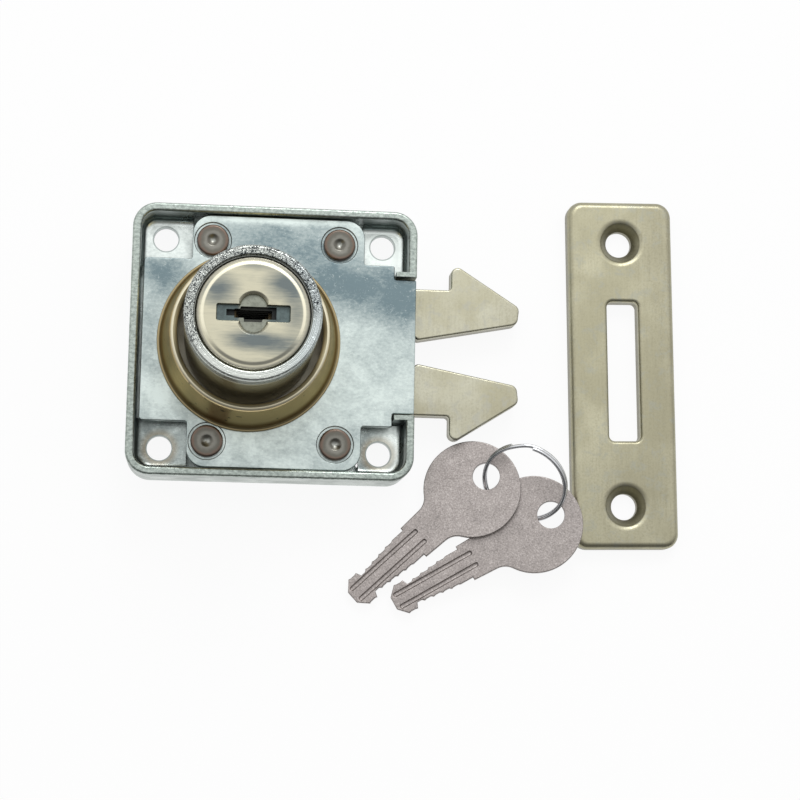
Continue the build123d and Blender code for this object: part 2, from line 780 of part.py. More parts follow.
def blade_edge():
    """Points of one edge of the blade, from inside the neck to the point, with its cuts."""
    points = [(neck_length - cut_flat_half, blade_half_width)]
    points.append((neck_length + cut_distances[0] - wafer_pitch / 2, blade_half_width))
    for i, half in enumerate(key_cut_half_widths):
        middle = neck_length + cut_distances[i]
        points.append((middle - cut_flat_half, half))
        points.append((middle + cut_flat_half, half))
        if i + 1 < wafer_count:
            ridge = min(blade_half_width, max(half, key_cut_half_widths[i + 1]) + cut_ridge)
            points.append((middle + wafer_pitch / 2, ridge))
    points.append((neck_length + blade_length - blade_point_length, blade_half_width))
    points.append((neck_length + blade_length, blade_point_half_width))
    return points


def make_key(plane):
    """A flat key with its bow's middle on the plane's origin and its blade along the plane's X."""
    edge = blade_edge()
    with BuildPart() as key:
        with BuildSketch(plane.offset(-key_thickness / 2)) as outline:
            Circle(bow_radius)
            with BuildLine():
                Polyline(
                    (0, neck_root_half_width),
                    (neck_length, neck_half_width),
                    (neck_length, -neck_half_width),
                    (0, -neck_root_half_width),
                    close=True,
                )
            make_face()
            root_corners = outline.vertices().filter_by_position(Axis.X, bow_radius / 2, bow_radius)
            fillet(root_corners, neck_fillet)
            with BuildLine():
                Polyline(*edge, *[(x, -y) for x, y in reversed(edge)], close=True)
            make_face()
            with Locations((-bow_hole_offset, 0)):
                Circle(bow_hole_radius, mode=Mode.SUBTRACT)
        extrude(amount=key_thickness)
        across = Axis(plane.origin, plane.z_dir)
        for face_edges in (key.edges().group_by(across)[-1], key.edges().group_by(across)[0]):
            fillet(face_edges.filter_by(GeomType.CIRCLE), bow_edge_rounding)
        # Two grooves run along the face and one along the back
        groove_start = neck_length - groove_lead
        groove_length = blade_length + groove_lead + groove_width
        groove_middle = groove_start + groove_length / 2
        with BuildSketch(plane.offset(key_thickness / 2)):
            with Locations((groove_middle, groove_offset), (groove_middle, -groove_offset)):
                SlotOverall(groove_length, groove_width)
        extrude(amount=-groove_depth, mode=Mode.SUBTRACT)
        with BuildSketch(plane.offset(-key_thickness / 2)):
            with Locations((groove_middle, 0)):
                SlotOverall(groove_length, groove_width)
        extrude(amount=groove_depth, mode=Mode.SUBTRACT)
    return key.part


key_1 = make_key(lying_plane(key_1_place, key_1_heading_angle, key_1_dip_angle, key_1_roll_angle))
key_1.label = "key_1"
export_step(key_1, "parts/key_1.step")

key_2 = make_key(lying_plane(key_2_place, key_2_heading_angle, key_2_dip_angle, key_2_roll_angle))
key_2.label = "key_2"
export_step(key_2, "parts/key_2.step")

# The split ring is two flat turns of wire with a step between them
ring_plane = lying_plane(ring_place, ring_uphill_angle, -ring_tilt_angle, 0)
with BuildPart() as key_ring:
    half_pitch = ring_wire_radius + ring_turn_gap / 2
    flat_angle = 360 - ring_step_angle
    with BuildLine(ring_plane) as ring_path:
        lower_turn = CenterArc((0, 0, -half_pitch), ring_radius, ring_step_start - flat_angle, flat_angle)
        upper_turn = CenterArc((0, 0, half_pitch), ring_radius, ring_step_start + ring_step_angle, flat_angle)
        Spline(lower_turn @ 1, upper_turn @ 0, tangents=(lower_turn % 1, upper_turn % 0))
    with BuildSketch(Plane(origin=lower_turn @ 0, z_dir=lower_turn % 0)):
        Circle(ring_wire_radius)
    sweep(path=ring_path.line)
key_ring.part.label = "key_ring"
export_step(key_ring.part, "parts/key_ring.step")
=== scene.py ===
# Cabinet lock with two hooks, its strike plate and two keys on a split ring.
# Shapes are worked out in millimetres and go into the meshes in metres.
import math

import bpy
import numpy as np
from mathutils import Matrix, Vector
from mathutils.geometry import delaunay_2d_cdt


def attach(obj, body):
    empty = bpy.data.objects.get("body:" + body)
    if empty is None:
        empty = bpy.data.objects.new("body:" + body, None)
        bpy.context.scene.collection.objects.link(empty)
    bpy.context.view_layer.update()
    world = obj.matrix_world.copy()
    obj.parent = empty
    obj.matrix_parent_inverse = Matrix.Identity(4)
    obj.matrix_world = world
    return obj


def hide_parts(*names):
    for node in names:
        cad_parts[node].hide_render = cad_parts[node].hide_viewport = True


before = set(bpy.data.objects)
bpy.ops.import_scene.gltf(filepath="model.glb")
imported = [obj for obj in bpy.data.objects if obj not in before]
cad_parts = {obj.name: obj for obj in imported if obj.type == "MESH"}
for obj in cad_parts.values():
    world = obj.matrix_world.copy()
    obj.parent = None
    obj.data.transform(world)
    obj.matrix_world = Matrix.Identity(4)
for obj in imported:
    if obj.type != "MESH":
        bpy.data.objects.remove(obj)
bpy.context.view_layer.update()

print("frame loaded")


def roundedLoop(corners, stepDegrees=7.5):
    # each corner (x, y, radius) is cut by the arc that touches both of its sides
    places = np.array([c[:2] for c in corners], float)
    parts = []
    for i, corner in enumerate(corners):
        p, radius = places[i], corner[2]
        if radius <= 0:
            parts.append(p[None])
            continue
        back = places[i - 1] - p
        ahead = places[(i + 1) % len(corners)] - p
        back /= np.linalg.norm(back)
        ahead /= np.linalg.norm(ahead)
        half = math.acos(np.clip(back @ ahead, -1, 1)) / 2
        middle = back + ahead
        centre = p + middle / np.linalg.norm(middle) * radius / math.sin(half)
        spoke = p + back * radius / math.tan(half) - centre
        turn = math.pi - 2 * half
        way = -1 if back[0] * ahead[1] - back[1] * ahead[0] > 0 else 1
        t = np.linspace(0, turn * way, max(3, int(math.degrees(turn) / stepDegrees) + 2))
        parts.append(centre + np.stack([spoke[0] * np.cos(t) - spoke[1] * np.sin(t),
                                        spoke[0] * np.sin(t) + spoke[1] * np.cos(t)], 1))
    return np.vstack(parts)


def roundedBox(width, height, radius, centre=(0, 0)):
    # a box whose four corners have one radius
    w, h = width / 2, height / 2
    x, y = centre
    return roundedLoop([(x - w, y - h, radius), (x + w, y - h, radius),
                        (x + w, y + h, radius), (x - w, y + h, radius)])


def circleLoop(radius, centre=(0, 0), count=72):
    # evenly spaced points round a circle
    t = np.linspace(0, 2 * np.pi, count, endpoint=False)
    return np.stack([centre[0] + radius * np.cos(t), centre[1] + radius * np.sin(t)], 1)


def arcPoints(centre, radius, start, end, stepDegrees=5):
    # points along an arc from one angle to another, in degrees
    t = np.radians(np.linspace(start, end, max(3, int(abs(end - start) / stepDegrees) + 2)))
    return np.stack([centre[0] + radius * np.cos(t), centre[1] + radius * np.sin(t)], 1)


def signedArea(loop):
    # half the sum of the cross products of neighbouring points
    x, y = loop.T
    return 0.5 * np.sum(x * np.roll(y, -1) - y * np.roll(x, -1))


def wound(loop, solidInside=True):
    # an outer loop runs anticlockwise and a hole clockwise, so the metal is on the left of both
    return loop if (signedArea(loop) > 0) == solidInside else loop[::-1]


def cleaned(loop, least=0.004):
    # points closer than this to the one before go
    return loop[np.linalg.norm(loop - np.roll(loop, 1, 0), axis=1) > least]


def dense(loop, longest):
    # long sides get evenly spaced points
    sides = zip(loop, np.roll(loop, -1, 0))
    return np.vstack([np.linspace(a, b, max(1, math.ceil(np.linalg.norm(b - a) / longest)), endpoint=False)
                      for a, b in sides])


def inwardWays(loop):
    # the mean of the left normals of the two sides that meet at a point, longer at a sharp corner
    side = np.roll(loop, -1, 0) - loop
    side /= np.linalg.norm(side, axis=1)[:, None]
    normal = np.stack([-side[:, 1], side[:, 0]], 1)
    both = normal + np.roll(normal, 1, 0)
    both /= np.maximum(np.linalg.norm(both, axis=1), 1e-6)[:, None]
    return both / np.maximum(np.sum(both * normal, 1), 0.6)[:, None]


def settleNormals(mesh):
    # a point's normal is the mean of its faces' normals by area, so flats stay flat beside their roundings
    mesh.polygons.foreach_set("use_smooth", np.ones(len(mesh.polygons), bool))
    area = np.zeros(len(mesh.polygons))
    normal = np.zeros(len(mesh.polygons) * 3)
    mesh.polygons.foreach_get("area", area)
    mesh.polygons.foreach_get("normal", normal)
    size = np.zeros(len(mesh.polygons), int)
    corner = np.zeros(len(mesh.loops), int)
    mesh.polygons.foreach_get("loop_total", size)
    mesh.loops.foreach_get("vertex_index", corner)
    heavy = np.repeat(normal.reshape(-1, 3) * area[:, None], size, 0)
    total = np.zeros((len(mesh.vertices), 3))
    np.add.at(total, corner, heavy)
    total /= np.maximum(np.linalg.norm(total, axis=1), 1e-12)[:, None]
    mesh.normals_split_custom_set_from_vertices(total.tolist())


def newPiece(name, points, faces, body, material, replaced=()):
    # a mesh object that rides on a body, with its material and the nodes that it stands for
    mesh = bpy.data.meshes.new(name)
    mesh.from_pydata((np.asarray(points, float) / 1000).tolist(), [], [list(map(int, f)) for f in faces])
    mesh.validate()
    mesh.update()
    settleNormals(mesh)
    piece = bpy.data.objects.new(name, mesh)
    bpy.context.scene.collection.objects.link(piece)
    mesh.materials.append(material)
    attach(piece, body)
    if replaced:
        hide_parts(*replaced)
    return piece


def gridFaces(rows, columns, closedRows=False, closedColumns=True, offset=0):
    # quads between neighbouring rows of a grid, wrapped where it closes
    r = np.arange(rows if closedRows else rows - 1)
    c = np.arange(columns if closedColumns else columns - 1)
    rr, cc = np.meshgrid(r, c, indexing="ij")
    r2, c2 = (rr + 1) % rows, (cc + 1) % columns
    quads = np.stack([rr * columns + cc, rr * columns + c2, r2 * columns + c2, r2 * columns + cc], -1)
    return quads.reshape(-1, 4) + offset


def turnedPiece(name, profile, steps, places, body, material, replaced=(), wave=None):
    # a closed profile of (radius, height) goes round the Z axis
    # wave moves each radius and height with its angle
    profile = np.array(profile, float)
    angle = np.linspace(0, 2 * np.pi, steps, endpoint=False)
    radius = np.repeat(profile[:, 0][:, None], steps, 1)
    height = np.repeat(profile[:, 1][:, None], steps, 1)
    if wave:
        radius, height = wave(radius, height, angle[None])
    turned = np.stack([radius * np.cos(angle), radius * np.sin(angle), height], -1).reshape(-1, 3)
    points = [turned + np.array([x, y, 0]) for x, y in places]
    faces = [gridFaces(len(profile), steps, True, True, i * len(turned)) for i in range(len(places))]
    return newPiece(name, np.vstack(points), np.vstack(faces), body, material, replaced)


def insideLoops(points, loops):
    # a point is in the metal when a line from it to the right crosses the loops an odd number of times
    crossed = np.zeros(len(points), int)
    for loop in loops:
        ax, ay = loop.T
        bx, by = np.roll(loop, -1, 0).T
        px, py = points[:, 0][:, None], points[:, 1][:, None]
        spans = (ay > py) != (by > py)
        rise = np.where(by == ay, 1, by - ay)
        crossed += (spans & (px < (bx - ax) * (py - ay) / rise + ax)).sum(1)
    return crossed % 2 == 1


def filledFace(loops, height, up):
    # the flat face between loops, as triangles that share the loops' points
    points = np.vstack(loops)
    edges, start = [], 0
    for loop in loops:
        n = np.arange(len(loop))
        edges += np.stack([n + start, (n + 1) % len(loop) + start], 1).tolist()
        start += len(loop)
    got = delaunay_2d_cdt([Vector(p) for p in points.tolist()], edges, [], 1, 1e-6)
    flat = np.array([tuple(v) for v in got[0]])
    faces = np.array([f for f in got[2] if len(f) == 3])
    faces = faces[insideLoops(flat[faces].mean(1), loops)]
    a, b, c = flat[faces[:, 0]], flat[faces[:, 1]], flat[faces[:, 2]]
    turn = (b[:, 0] - a[:, 0]) * (c[:, 1] - a[:, 1]) - (b[:, 1] - a[:, 1]) * (c[:, 0] - a[:, 0])
    wrong = (turn > 0) != up
    faces[wrong] = faces[wrong][:, ::-1]
    return np.column_stack([flat, np.full(len(flat), float(height))]), faces


def insetWall(loop, rows, weight=None):
    # each row (inset, height) is the loop moved that far into the metal
    # a point's weight makes its own move larger or smaller
    ways = inwardWays(loop)
    if weight is not None:
        ways = ways * weight[:, None]
    inset, height = np.array(rows, float).T
    flat = loop[None] + ways[None] * inset[:, None, None]
    return np.concatenate([flat, np.broadcast_to(height[:, None, None], flat.shape[:2] + (1,))], -1)


def cutPlate(name, loops, body, material, replaced=(), place=None, pockets=()):
    # loops are (points, rows) and may have weights. Their first rows meet in the top face, and their last
    # rows in the bottom face. Pockets are sunk in the top face the same way, each with a floor.
    points, faces, topLoops, bottomLoops = [], [], [], []

    def add(newPoints, newFaces):
        faces.extend((np.asarray(newFaces) + sum(map(len, points))).tolist())
        points.append(newPoints)

    for loop, rows, *weight in [*loops, *pockets]:
        wall = insetWall(loop, rows, *weight)
        add(wall.reshape(-1, 3), gridFaces(len(rows), len(loop))[:, ::-1])
        topLoops.append(wall[0, :, :2])
        bottomLoops.append(wall[-1, :, :2])
    for (loop, rows), foot in zip(pockets, bottomLoops[len(loops):]):
        add(*filledFace([foot], rows[-1][1], True))
    add(*filledFace(topLoops, loops[0][1][0][1], True))
    add(*filledFace(bottomLoops[:len(loops)], loops[0][1][-1][1], False))
    points = np.vstack(points)
    if place is not None:
        points = place(points)
    points, faces = joinedPoints(points, faces)
    return newPiece(name, points, faces, body, material, replaced)


def joinedPoints(points, faces, near=0.0005):
    # points that share a place become one, and faces that close up on themselves go
    keys = np.round(points / near).astype(np.int64)
    first, back = np.unique(keys, axis=0, return_index=True, return_inverse=True)[1:]
    back = back.reshape(-1)
    kept = []
    for face in faces:
        new = [int(back[i]) for i in face]
        slim = [v for i, v in enumerate(new) if v != new[i - 1]]
        if len(set(slim)) >= 3:
            kept.append(slim)
    return points[first], kept


def cornerRound(x, y, across, down, steps=6):
    # a quarter circle inside the corner (x, y), from below it to beside it. Negative ways mirror it
    t = np.linspace(0, np.pi / 2, steps + 1)
    return [(x - across * (1 - math.cos(a)), y - down * (1 - math.sin(a))) for a in t]


def roundRows(top, edge, steps=4):
    # (inset, height) rows from the top face over its rounding to the side
    return cornerRound(0, top, -edge, edge, steps)[::-1]


def plainRows(top, bottom, edge, steps=4):
    # the same, then down the side and round into the bottom face
    return roundRows(top, edge, steps) + cornerRound(0, bottom, -edge, -edge, steps)


print("mesh tools ready")


def newNode(tree, kind, inputs=(), **settings):
    # a shader node with its settings, and each input linked to a socket or given a value
    node = tree.nodes.new(f"ShaderNode{kind}")
    for name, value in settings.items():
        setattr(node, name, value)
    for place, value in dict(inputs).items():
        if isinstance(value, bpy.types.NodeSocket):
            tree.links.new(value, node.inputs[place])
        elif value is not None:
            node.inputs[place].default_value = value
    return node


def rangeNode(tree, value, low, high, first=0.0, last=1.0, smooth=True):
    # first up to low, last from high on, and an eased or a straight way between
    ends = {"Value": value, "From Min": low, "From Max": high, "To Min": first, "To Max": last}
    return newNode(tree, "MapRange", ends, interpolation_type="SMOOTHSTEP" if smooth else "LINEAR").outputs[0]


class Graph:
    # a material's nodes, with coordinates in millimetres
    def __init__(self, name):
        self.material = bpy.data.materials.new(name)
        self.material.use_nodes = True
        self.tree = self.material.node_tree
        self.tree.nodes.clear()
        self.shader = self.node("BsdfPrincipled")
        self.node("OutputMaterial", {0: self.shader.outputs[0]})
        self.mm = self.mapped(self.node("TexCoord").outputs["Object"], scale=(1000, 1000, 1000))
        self.x, self.y, self.z = self.node("SeparateXYZ", {0: self.mm}).outputs

    def node(self, kind, inputs=(), **settings):
        return newNode(self.tree, kind, inputs, **settings)

    def set(self, **values):
        for name, value in values.items():
            self.shader.inputs[name.replace("_", " ")].default_value = value
        return self

    def put(self, socket, name):
        self.tree.links.new(socket, self.shader.inputs[name])
        return self

    def mapped(self, vector, place=(0, 0, 0), turn=(0, 0, 0), scale=(1, 1, 1)):
        values = {"Vector": vector, "Location": place, "Rotation": turn, "Scale": scale}
        return self.node("Mapping", values).outputs[0]

    def stretched(self, *scale, turn=(0, 0, 0)):
        # the millimetres drawn out or packed closer along each axis
        return self.mapped(self.mm, turn=turn, scale=scale)

    def noise(self, scale, detail=3, rough=0.5, vector=None, warp=0):
        values = {"Vector": self.mm if vector is None else vector, "Scale": scale, "Detail": detail,
                  "Roughness": rough, "Distortion": warp}
        return self.node("TexNoise", values).outputs["Fac"]

    def math(self, way, a, b=None, clamp=False):
        return self.node("Math", {0: a, 1: b}, operation=way, use_clamp=clamp).outputs[0]

    def add(self, a, b, clamp=False):
        return self.math("ADD", a, b, clamp)

    def times(self, a, b, clamp=False):
        return self.math("MULTIPLY", a, b, clamp)

    def larger(self, a, b):
        return self.math("MAXIMUM", a, b)

    def length(self, a, b):
        # the square root of the sum of two squares
        return self.math("SQRT", self.add(self.times(a, a), self.times(b, b)))

    def radius(self):
        # distance from the barrel's axis
        return self.length(self.x, self.y)

    def fromPair(self, value, middle, half):
        # how far a value lies past the nearer of two places that stand half to each side of the middle
        return self.math("SUBTRACT", self.math("ABSOLUTE", self.math("SUBTRACT", value, middle)), half)

    def fromFour(self, xMiddle, xHalf, yHalf):
        # distance from the nearest corner of a box that is centred on the X axis
        return self.length(self.fromPair(self.x, xMiddle, xHalf), self.fromPair(self.y, 0.0, yHalf))

    def fromBox(self, middle, half, radius):
        # how far a point lies outside a rounded box seen from above, negative inside: the length of what
        # passes the corner's centre, plus the larger of the two ways where both fall short, less the radius
        dx = self.fromPair(self.x, middle[0], half[0] - radius)
        dy = self.fromPair(self.y, middle[1], half[1] - radius)
        past = self.length(self.larger(dx, 0.0), self.larger(dy, 0.0))
        short = self.math("MINIMUM", self.larger(dx, dy), 0.0)
        return self.math("SUBTRACT", self.add(past, short), radius)

    def between(self, value, *band, smooth=True):
        return rangeNode(self.tree, value, *band, smooth=smooth)

    def clouds(self, spots, edge=1.5):
        # a sum of soft ellipses (x, y, half width, half height, weight) that end at edge times their size
        total = 0.0
        for x, y, wide, high, weight in spots:
            near = self.mapped(self.mm, (-x / wide, -y / high, 0), scale=(1 / wide, 1 / high, 0))
            away = self.node("VectorMath", {0: near}, operation="LENGTH").outputs["Value"]
            total = self.add(total, self.between(away, 0.0, edge, weight, 0.0))
        return total

    def along(self, value):
        # a place that only changes with one value
        return self.node("CombineXYZ", {0: value}).outputs[0]

    def centred(self, value, depth):
        # a noise moved to swing evenly round nought
        return self.times(self.math("SUBTRACT", value, 0.5), depth)

    def ramp(self, value, stops, smooth=True):
        node = self.node("ValToRGB", {0: value})
        node.color_ramp.interpolation = "EASE" if smooth else "LINEAR"
        bar = node.color_ramp.elements
        while len(bar) < len(stops):
            bar.new(0.5)
        for element, (place, colour) in zip(bar, stops):
            element.position = place
            element.color = (*colour, 1)
        return node.outputs[0]

    def mix(self, amount, a, b):
        a, b = ((*colour, 1) if isinstance(colour, tuple) else colour for colour in (a, b))
        return self.node("Mix", {0: amount, 6: a, 7: b}, data_type="RGBA").outputs[2]

    def tint(self, colour, value, tone, *band):
        # the colour gives way to the tone over a band of the value
        return self.mix(self.between(value, *band), colour, tone)

    def bump(self, height, depth, strength=1.0, before=None):
        # depth is the height of the relief in millimetres
        values = {"Strength": strength, "Distance": depth / 1000, "Height": height, "Normal": before}
        return self.node("Bump", values).outputs[0]


def zincTones(g, look):
    # pale grey green under slate clouds, with fine speckle in both and thin bright scuffs
    cloud = g.noise(look["cloudScale"], 5, 0.66, warp=0.8)
    grain = g.noise(look["grainScale"], 4, 0.75, g.stretched(0.8, 1.2, 1, turn=(0, 0, 0.15)))
    total = g.add(g.clouds(look["clouds"]), g.centred(cloud, look["cloudDepth"]))
    total = g.add(total, g.centred(grain, look["grainDepth"]))
    colour = g.ramp(g.between(total, *look["cloudSpan"], smooth=False),
                    [(0.0, look["pale"]), (0.5, look["middle"]), (1.0, look["slate"])], smooth=False)
    return g.tint(colour, g.noise(look["scuffScale"], 4, 0.75, warp=1.5), *look["scuffs"]), cloud, grain


def zincStain(g, look, colour, away):
    # a tan stain round the lower two screw holes
    share = g.times(g.between(away, *look["stainBand"]), g.between(g.y, *look["stainBelow"]))
    return g.mix(share, colour, look["stain"])


def zincFinish(g, look, colour, cloud, grain):
    # duller and a little raised in the clouds, with the grain as a finer relief on top
    g.put(colour, "Base Color")
    g.put(g.between(cloud, 0.3, 0.7, *look["rough"]), "Roughness")
    g.put(g.bump(grain, look["relief"], 1.0, g.bump(cloud, look["relief"] * 3)), "Normal")
    return g.set(Metallic=1.0).material


def coverSheetZinc(look):
    # the plain sheet, with painted shade on it under the collar
    g = Graph("coverZinc")
    colour, cloud, grain = zincTones(g, look)
    colour = zincStain(g, look, colour, g.fromFour(*look["holes"]))
    # painted shade on the sheet where the collar's wall stands over it
    return zincFinish(g, look, g.tint(colour, g.radius(), *look["darkened"]), cloud, grain)


def trayZinc(look):
    # the tray's inner walls get painted shade, darker than its seats, and its rim and outside lie between
    g = Graph("caseZinc")
    colour, cloud, grain = zincTones(g, look)
    # painted shade on the inner walls above the seats
    colour = g.tint(colour, g.z, look["wall"], *look["wallShadeBand"])
    outside = g.tint(look["rim"], cloud, look["rimDark"], *look["outsideTones"])
    colour = g.tint(colour, g.fromBox(*look["box"]), outside, *look["outsideBand"])
    rim = g.tint(look["rim"], grain, look["rimDark"], *look["rimTones"])
    colour = g.tint(colour, g.z, rim, *look["rimBand"])
    away = g.fromFour(*look["holes"])
    colour = zincStain(g, look, colour, away)
    # a dark line round each screw hole
    return zincFinish(g, look, g.tint(colour, away, look["wall"], *look["holeLine"]), cloud, grain)


# a band is (from, to), and may give the two values at its ends. A tone with a band starts with its colour
coverLook = dict(pale=(0.66, 0.74, 0.71), middle=(0.40, 0.465, 0.46), slate=(0.165, 0.225, 0.245),
                 cloudScale=0.17, grainScale=2.2, cloudDepth=1.9, grainDepth=1.4, cloudSpan=(-0.5, 1.15),
                 scuffScale=1.9, scuffs=((0.84, 0.89, 0.86), 0.58, 0.70, 0.0, 0.4), rough=(0.30, 0.44),
                 relief=0.008, darkened=((0.33, 0.31, 0.25), 12.1, 12.3, 1.0, 0.0), holes=(3.4, 15.5, 15.0),
                 stain=(0.36, 0.29, 0.19), stainBand=(3.1, 1.9, 0.0, 0.5), stainBelow=(-8.0, -10.0),
                 clouds=[(18.0, 8.2, 9.0, 4.6, 1.35), (10.0, 10.0, 4.5, 4.0, 0.7),
                         (3.5, 14.4, 9.5, 3.4, 0.95), (-12.0, 9.5, 4.2, 3.6, 1.15),
                         (22.0, 4.5, 3.0, 3.4, 0.5), (3.5, 17.5, 10.0, 0.7, -1.0),
                         (-13.8, 2.0, 1.6, 6.0, 0.3), (14.0, -6.0, 9.0, 7.0, -0.3),
                         (-12.5, -8.0, 3.0, 3.0, -0.5), (3.0, -14.5, 9.0, 3.5, -0.3)])
caseLook = dict(coverLook, pale=(0.84, 0.90, 0.87), middle=(0.50, 0.56, 0.54), slate=(0.17, 0.20, 0.20),
                cloudDepth=1.3, scuffs=((0.97, 0.99, 0.97), 0.58, 0.70, 0.0, 0.5), rough=(0.24, 0.38),
                relief=0.012, wall=(0.27, 0.31, 0.30), wallShadeBand=(-4.95, -4.6, 0.0, 0.9),
                rim=(0.50, 0.56, 0.515), rimDark=(0.26, 0.30, 0.275), rimBand=(-0.7, -0.3, 0.0, 0.9),
                rimTones=(0.36, 0.64), box=((3.4, 0.0), (20.1, 19.25), 3.4),
                outsideBand=(-0.5, -0.3, 0.0, 0.9), outsideTones=(0.3, 0.7, 0.1, 0.8),
                holeLine=(2.0, 1.8, 0.0, 0.85),
                # these clouds are painted light on the upper seats and the right of the lower right seat, and
                # painted shade on the lower left seat and the left of the lower right seat
                clouds=[(-12.5, 15.5, 4.0, 4.0, -0.45), (20.0, 15.5, 4.0, 4.0, -1.3),
                        (-12.5, -15.5, 5.0, 5.0, 1.1), (17.2, -15.5, 1.8, 5.0, 1.2),
                        (21.0, -14.5, 1.6, 3.0, -0.5)])
coverZinc = coverSheetZinc(coverLook)
caseZinc = trayZinc(caseLook)


def plainMetal(name, colour, rough, grain=2.5, relief=0.004, vary=0.15):
    # one metal with a soft change of tone and a fine even grain
    g = Graph(name)
    fine = g.noise(grain, 3, 0.7)
    darker = tuple(c * (1 - vary) for c in colour)
    lighter = tuple(min(1, c * (1 + vary)) for c in colour)
    tone = g.add(g.times(g.noise(0.35, 4, 0.6), 0.6), g.times(fine, 0.4))
    g.put(g.ramp(tone, [(0.36, darker), (0.64, lighter)]), "Base Color")
    g.put(g.between(fine, 0.3, 0.7, rough - 0.05, rough + 0.07), "Roughness")
    g.put(g.bump(fine, relief), "Normal")
    return g.set(Metallic=1.0).material


innerSteel = plainMetal("innerSteel", (0.52, 0.53, 0.54), 0.35)
turnedSteel = plainMetal("turnedSteel", (0.56, 0.55, 0.53), 0.3, grain=3.0, relief=0.006)
springSteel = plainMetal("springSteel", (0.55, 0.56, 0.58), 0.3, grain=5.0)
# the wafers' brass is darkened nearly to black, as painted shade for the keyway they sit in
waferBrass = plainMetal("waferBrass", (0.09, 0.07, 0.04), 0.4, grain=3.0)
wireChrome = plainMetal("wireChrome", (0.62, 0.63, 0.65), 0.14, grain=4.0, vary=0.1)


def castPlug(look):
    # grey green casting with painted shade: darker and bluer away from the middle, and nearly black down in
    # the keyway
    g = Graph("castZinc")
    grain = g.noise(1.6, 3, 0.7)
    # painted shade at the slot's ends and down the keyway
    colour = g.tint(look["middle"], g.math("ABSOLUTE", g.x), *look["side"])
    colour = g.tint(colour, g.z, look["deep"], *look["keywayShadeBand"])
    g.put(g.tint(colour, grain, look["deep"], *look["grainBand"]), "Base Color")
    g.put(g.bump(grain, look["relief"]), "Normal")
    return g.set(Metallic=1.0, Roughness=0.45).material


plugLook = dict(middle=(0.29, 0.305, 0.255), side=((0.12, 0.155, 0.155), 1.6, 2.2), deep=(0.03, 0.03, 0.03),
                keywayShadeBand=(20.9, 20.3, 0.0, 0.9), grainBand=(0.4, 0.65, 0.0, 0.3), relief=0.01)
castZinc = castPlug(plugLook)


def rivetMetal(look):
    # tones by the radius, roughened by a noise: a bright dimple, a grey middle and a rusty pink outer ring
    g = Graph("rivetMetal")
    away = g.times(g.fromFour(*look["places"]), look["reach"])
    g.put(g.ramp(g.add(away, g.times(g.noise(1.1, 3, 0.6), look["wander"])), look["tones"]), "Base Color")
    g.put(g.bump(g.noise(2.4, 3, 0.6), look["relief"]), "Normal")
    return g.set(Metallic=0.9, Roughness=0.32).material


rivetLook = dict(places=(3.5, 8.95, 14.25), reach=0.37, wander=0.26, relief=0.012,
                 tones=[(0.18, (0.36, 0.37, 0.34)), (0.34, (0.14, 0.135, 0.115)),
                        (0.52, (0.22, 0.215, 0.19)), (0.72, (0.14, 0.135, 0.115)),
                        (0.88, (0.165, 0.12, 0.095)), (0.98, (0.21, 0.165, 0.14))])
rivetSteel = rivetMetal(rivetLook)


def lacquerBrass(look):
    # dark gold with cloudy patches and small dark spots, brown low down and a paler foot, with painted light
    # on the near side and inside, and a painted highlight on the crest
    g = Graph("lacquerBrass")
    r = g.radius()
    colour = g.tint(look["gold"], g.noise(0.28, 4, 0.6, warp=0.8), *look["olive"])
    # painted light: lighter gold towards the near side
    colour = g.tint(colour, g.y, *look["low"])
    colour = g.tint(colour, g.z, *look["brown"])
    colour = g.tint(colour, g.noise(0.9, 1, 0.4), *look["spot"])
    colour = g.tint(colour, r, *look["foot"])
    # a painted highlight along the crest
    colour = g.tint(colour, g.z, *look["crest"])
    # painted light: the inside of the wall and the lip are lighter than the gold, to lift the shaded gap by
    # the barrel
    # inside is where the radius, with the wall's lean taken out, is less than that of the sheet's middle
    inside = g.between(g.add(r, g.times(g.z, look["lean"])), *look["insideBand"])
    inside = g.larger(g.times(inside, g.between(g.z, *look["underCrest"])), g.between(r, *look["lipBand"]))
    g.put(g.mix(inside, colour, look["inside"]), "Base Color")
    g.put(g.bump(g.noise(1.2, 2, 0.5), look["relief"]), "Normal")
    return g.set(Metallic=0.9, Roughness=0.3, Specular_Tint=look["tint"]).material


collarLook = dict(gold=(0.44, 0.34, 0.17), olive=((0.30, 0.255, 0.145), 0.35, 0.65),
                  low=((0.72, 0.59, 0.33), -2.0, -9.0, 0.0, 0.8), brown=((0.27, 0.185, 0.085), 2.0, 0.0),
                  spot=((0.12, 0.10, 0.06), 0.70, 0.76, 0.0, 0.7), foot=((0.36, 0.29, 0.16), 12.3, 12.5),
                  crest=((0.74, 0.69, 0.52), 7.1, 7.28), inside=(0.50, 0.43, 0.28), lean=0.1875,
                  insideBand=(11.95, 12.1, 1.0, 0.0), underCrest=(7.0, 6.8), lipBand=(10.2, 10.05),
                  relief=0.006, tint=(0.68, 0.6, 0.42, 1))
collarBrass = lacquerBrass(collarLook)


def darkBronze(look):
    # dark bronze with faint turning lines, grey under the ring, painted light towards the near side, and
    # painted glints of what stands round it
    g = Graph("darkBronze")
    lines = g.noise(1.6, 3, 0.7, g.stretched(0.15, 0.15, 2.2))
    colour = g.tint(look["bronze"], g.noise(0.2, 3, 0.5), *look["grey"])
    colour = g.tint(colour, lines, *look["line"])
    colour = g.tint(colour, g.z, *look["top"])
    # painted light: lighter towards the near side
    colour = g.tint(colour, g.y, *look["low"])
    glint = g.times(g.clouds(look["clouds"]), g.between(g.z, *look["glintBand"]), clamp=True)
    g.put(g.mix(glint, colour, look["glint"]), "Base Color")
    g.put(g.bump(lines, look["relief"]), "Normal")
    return g.set(Metallic=1.0, Roughness=0.22, Specular_Tint=look["tint"]).material


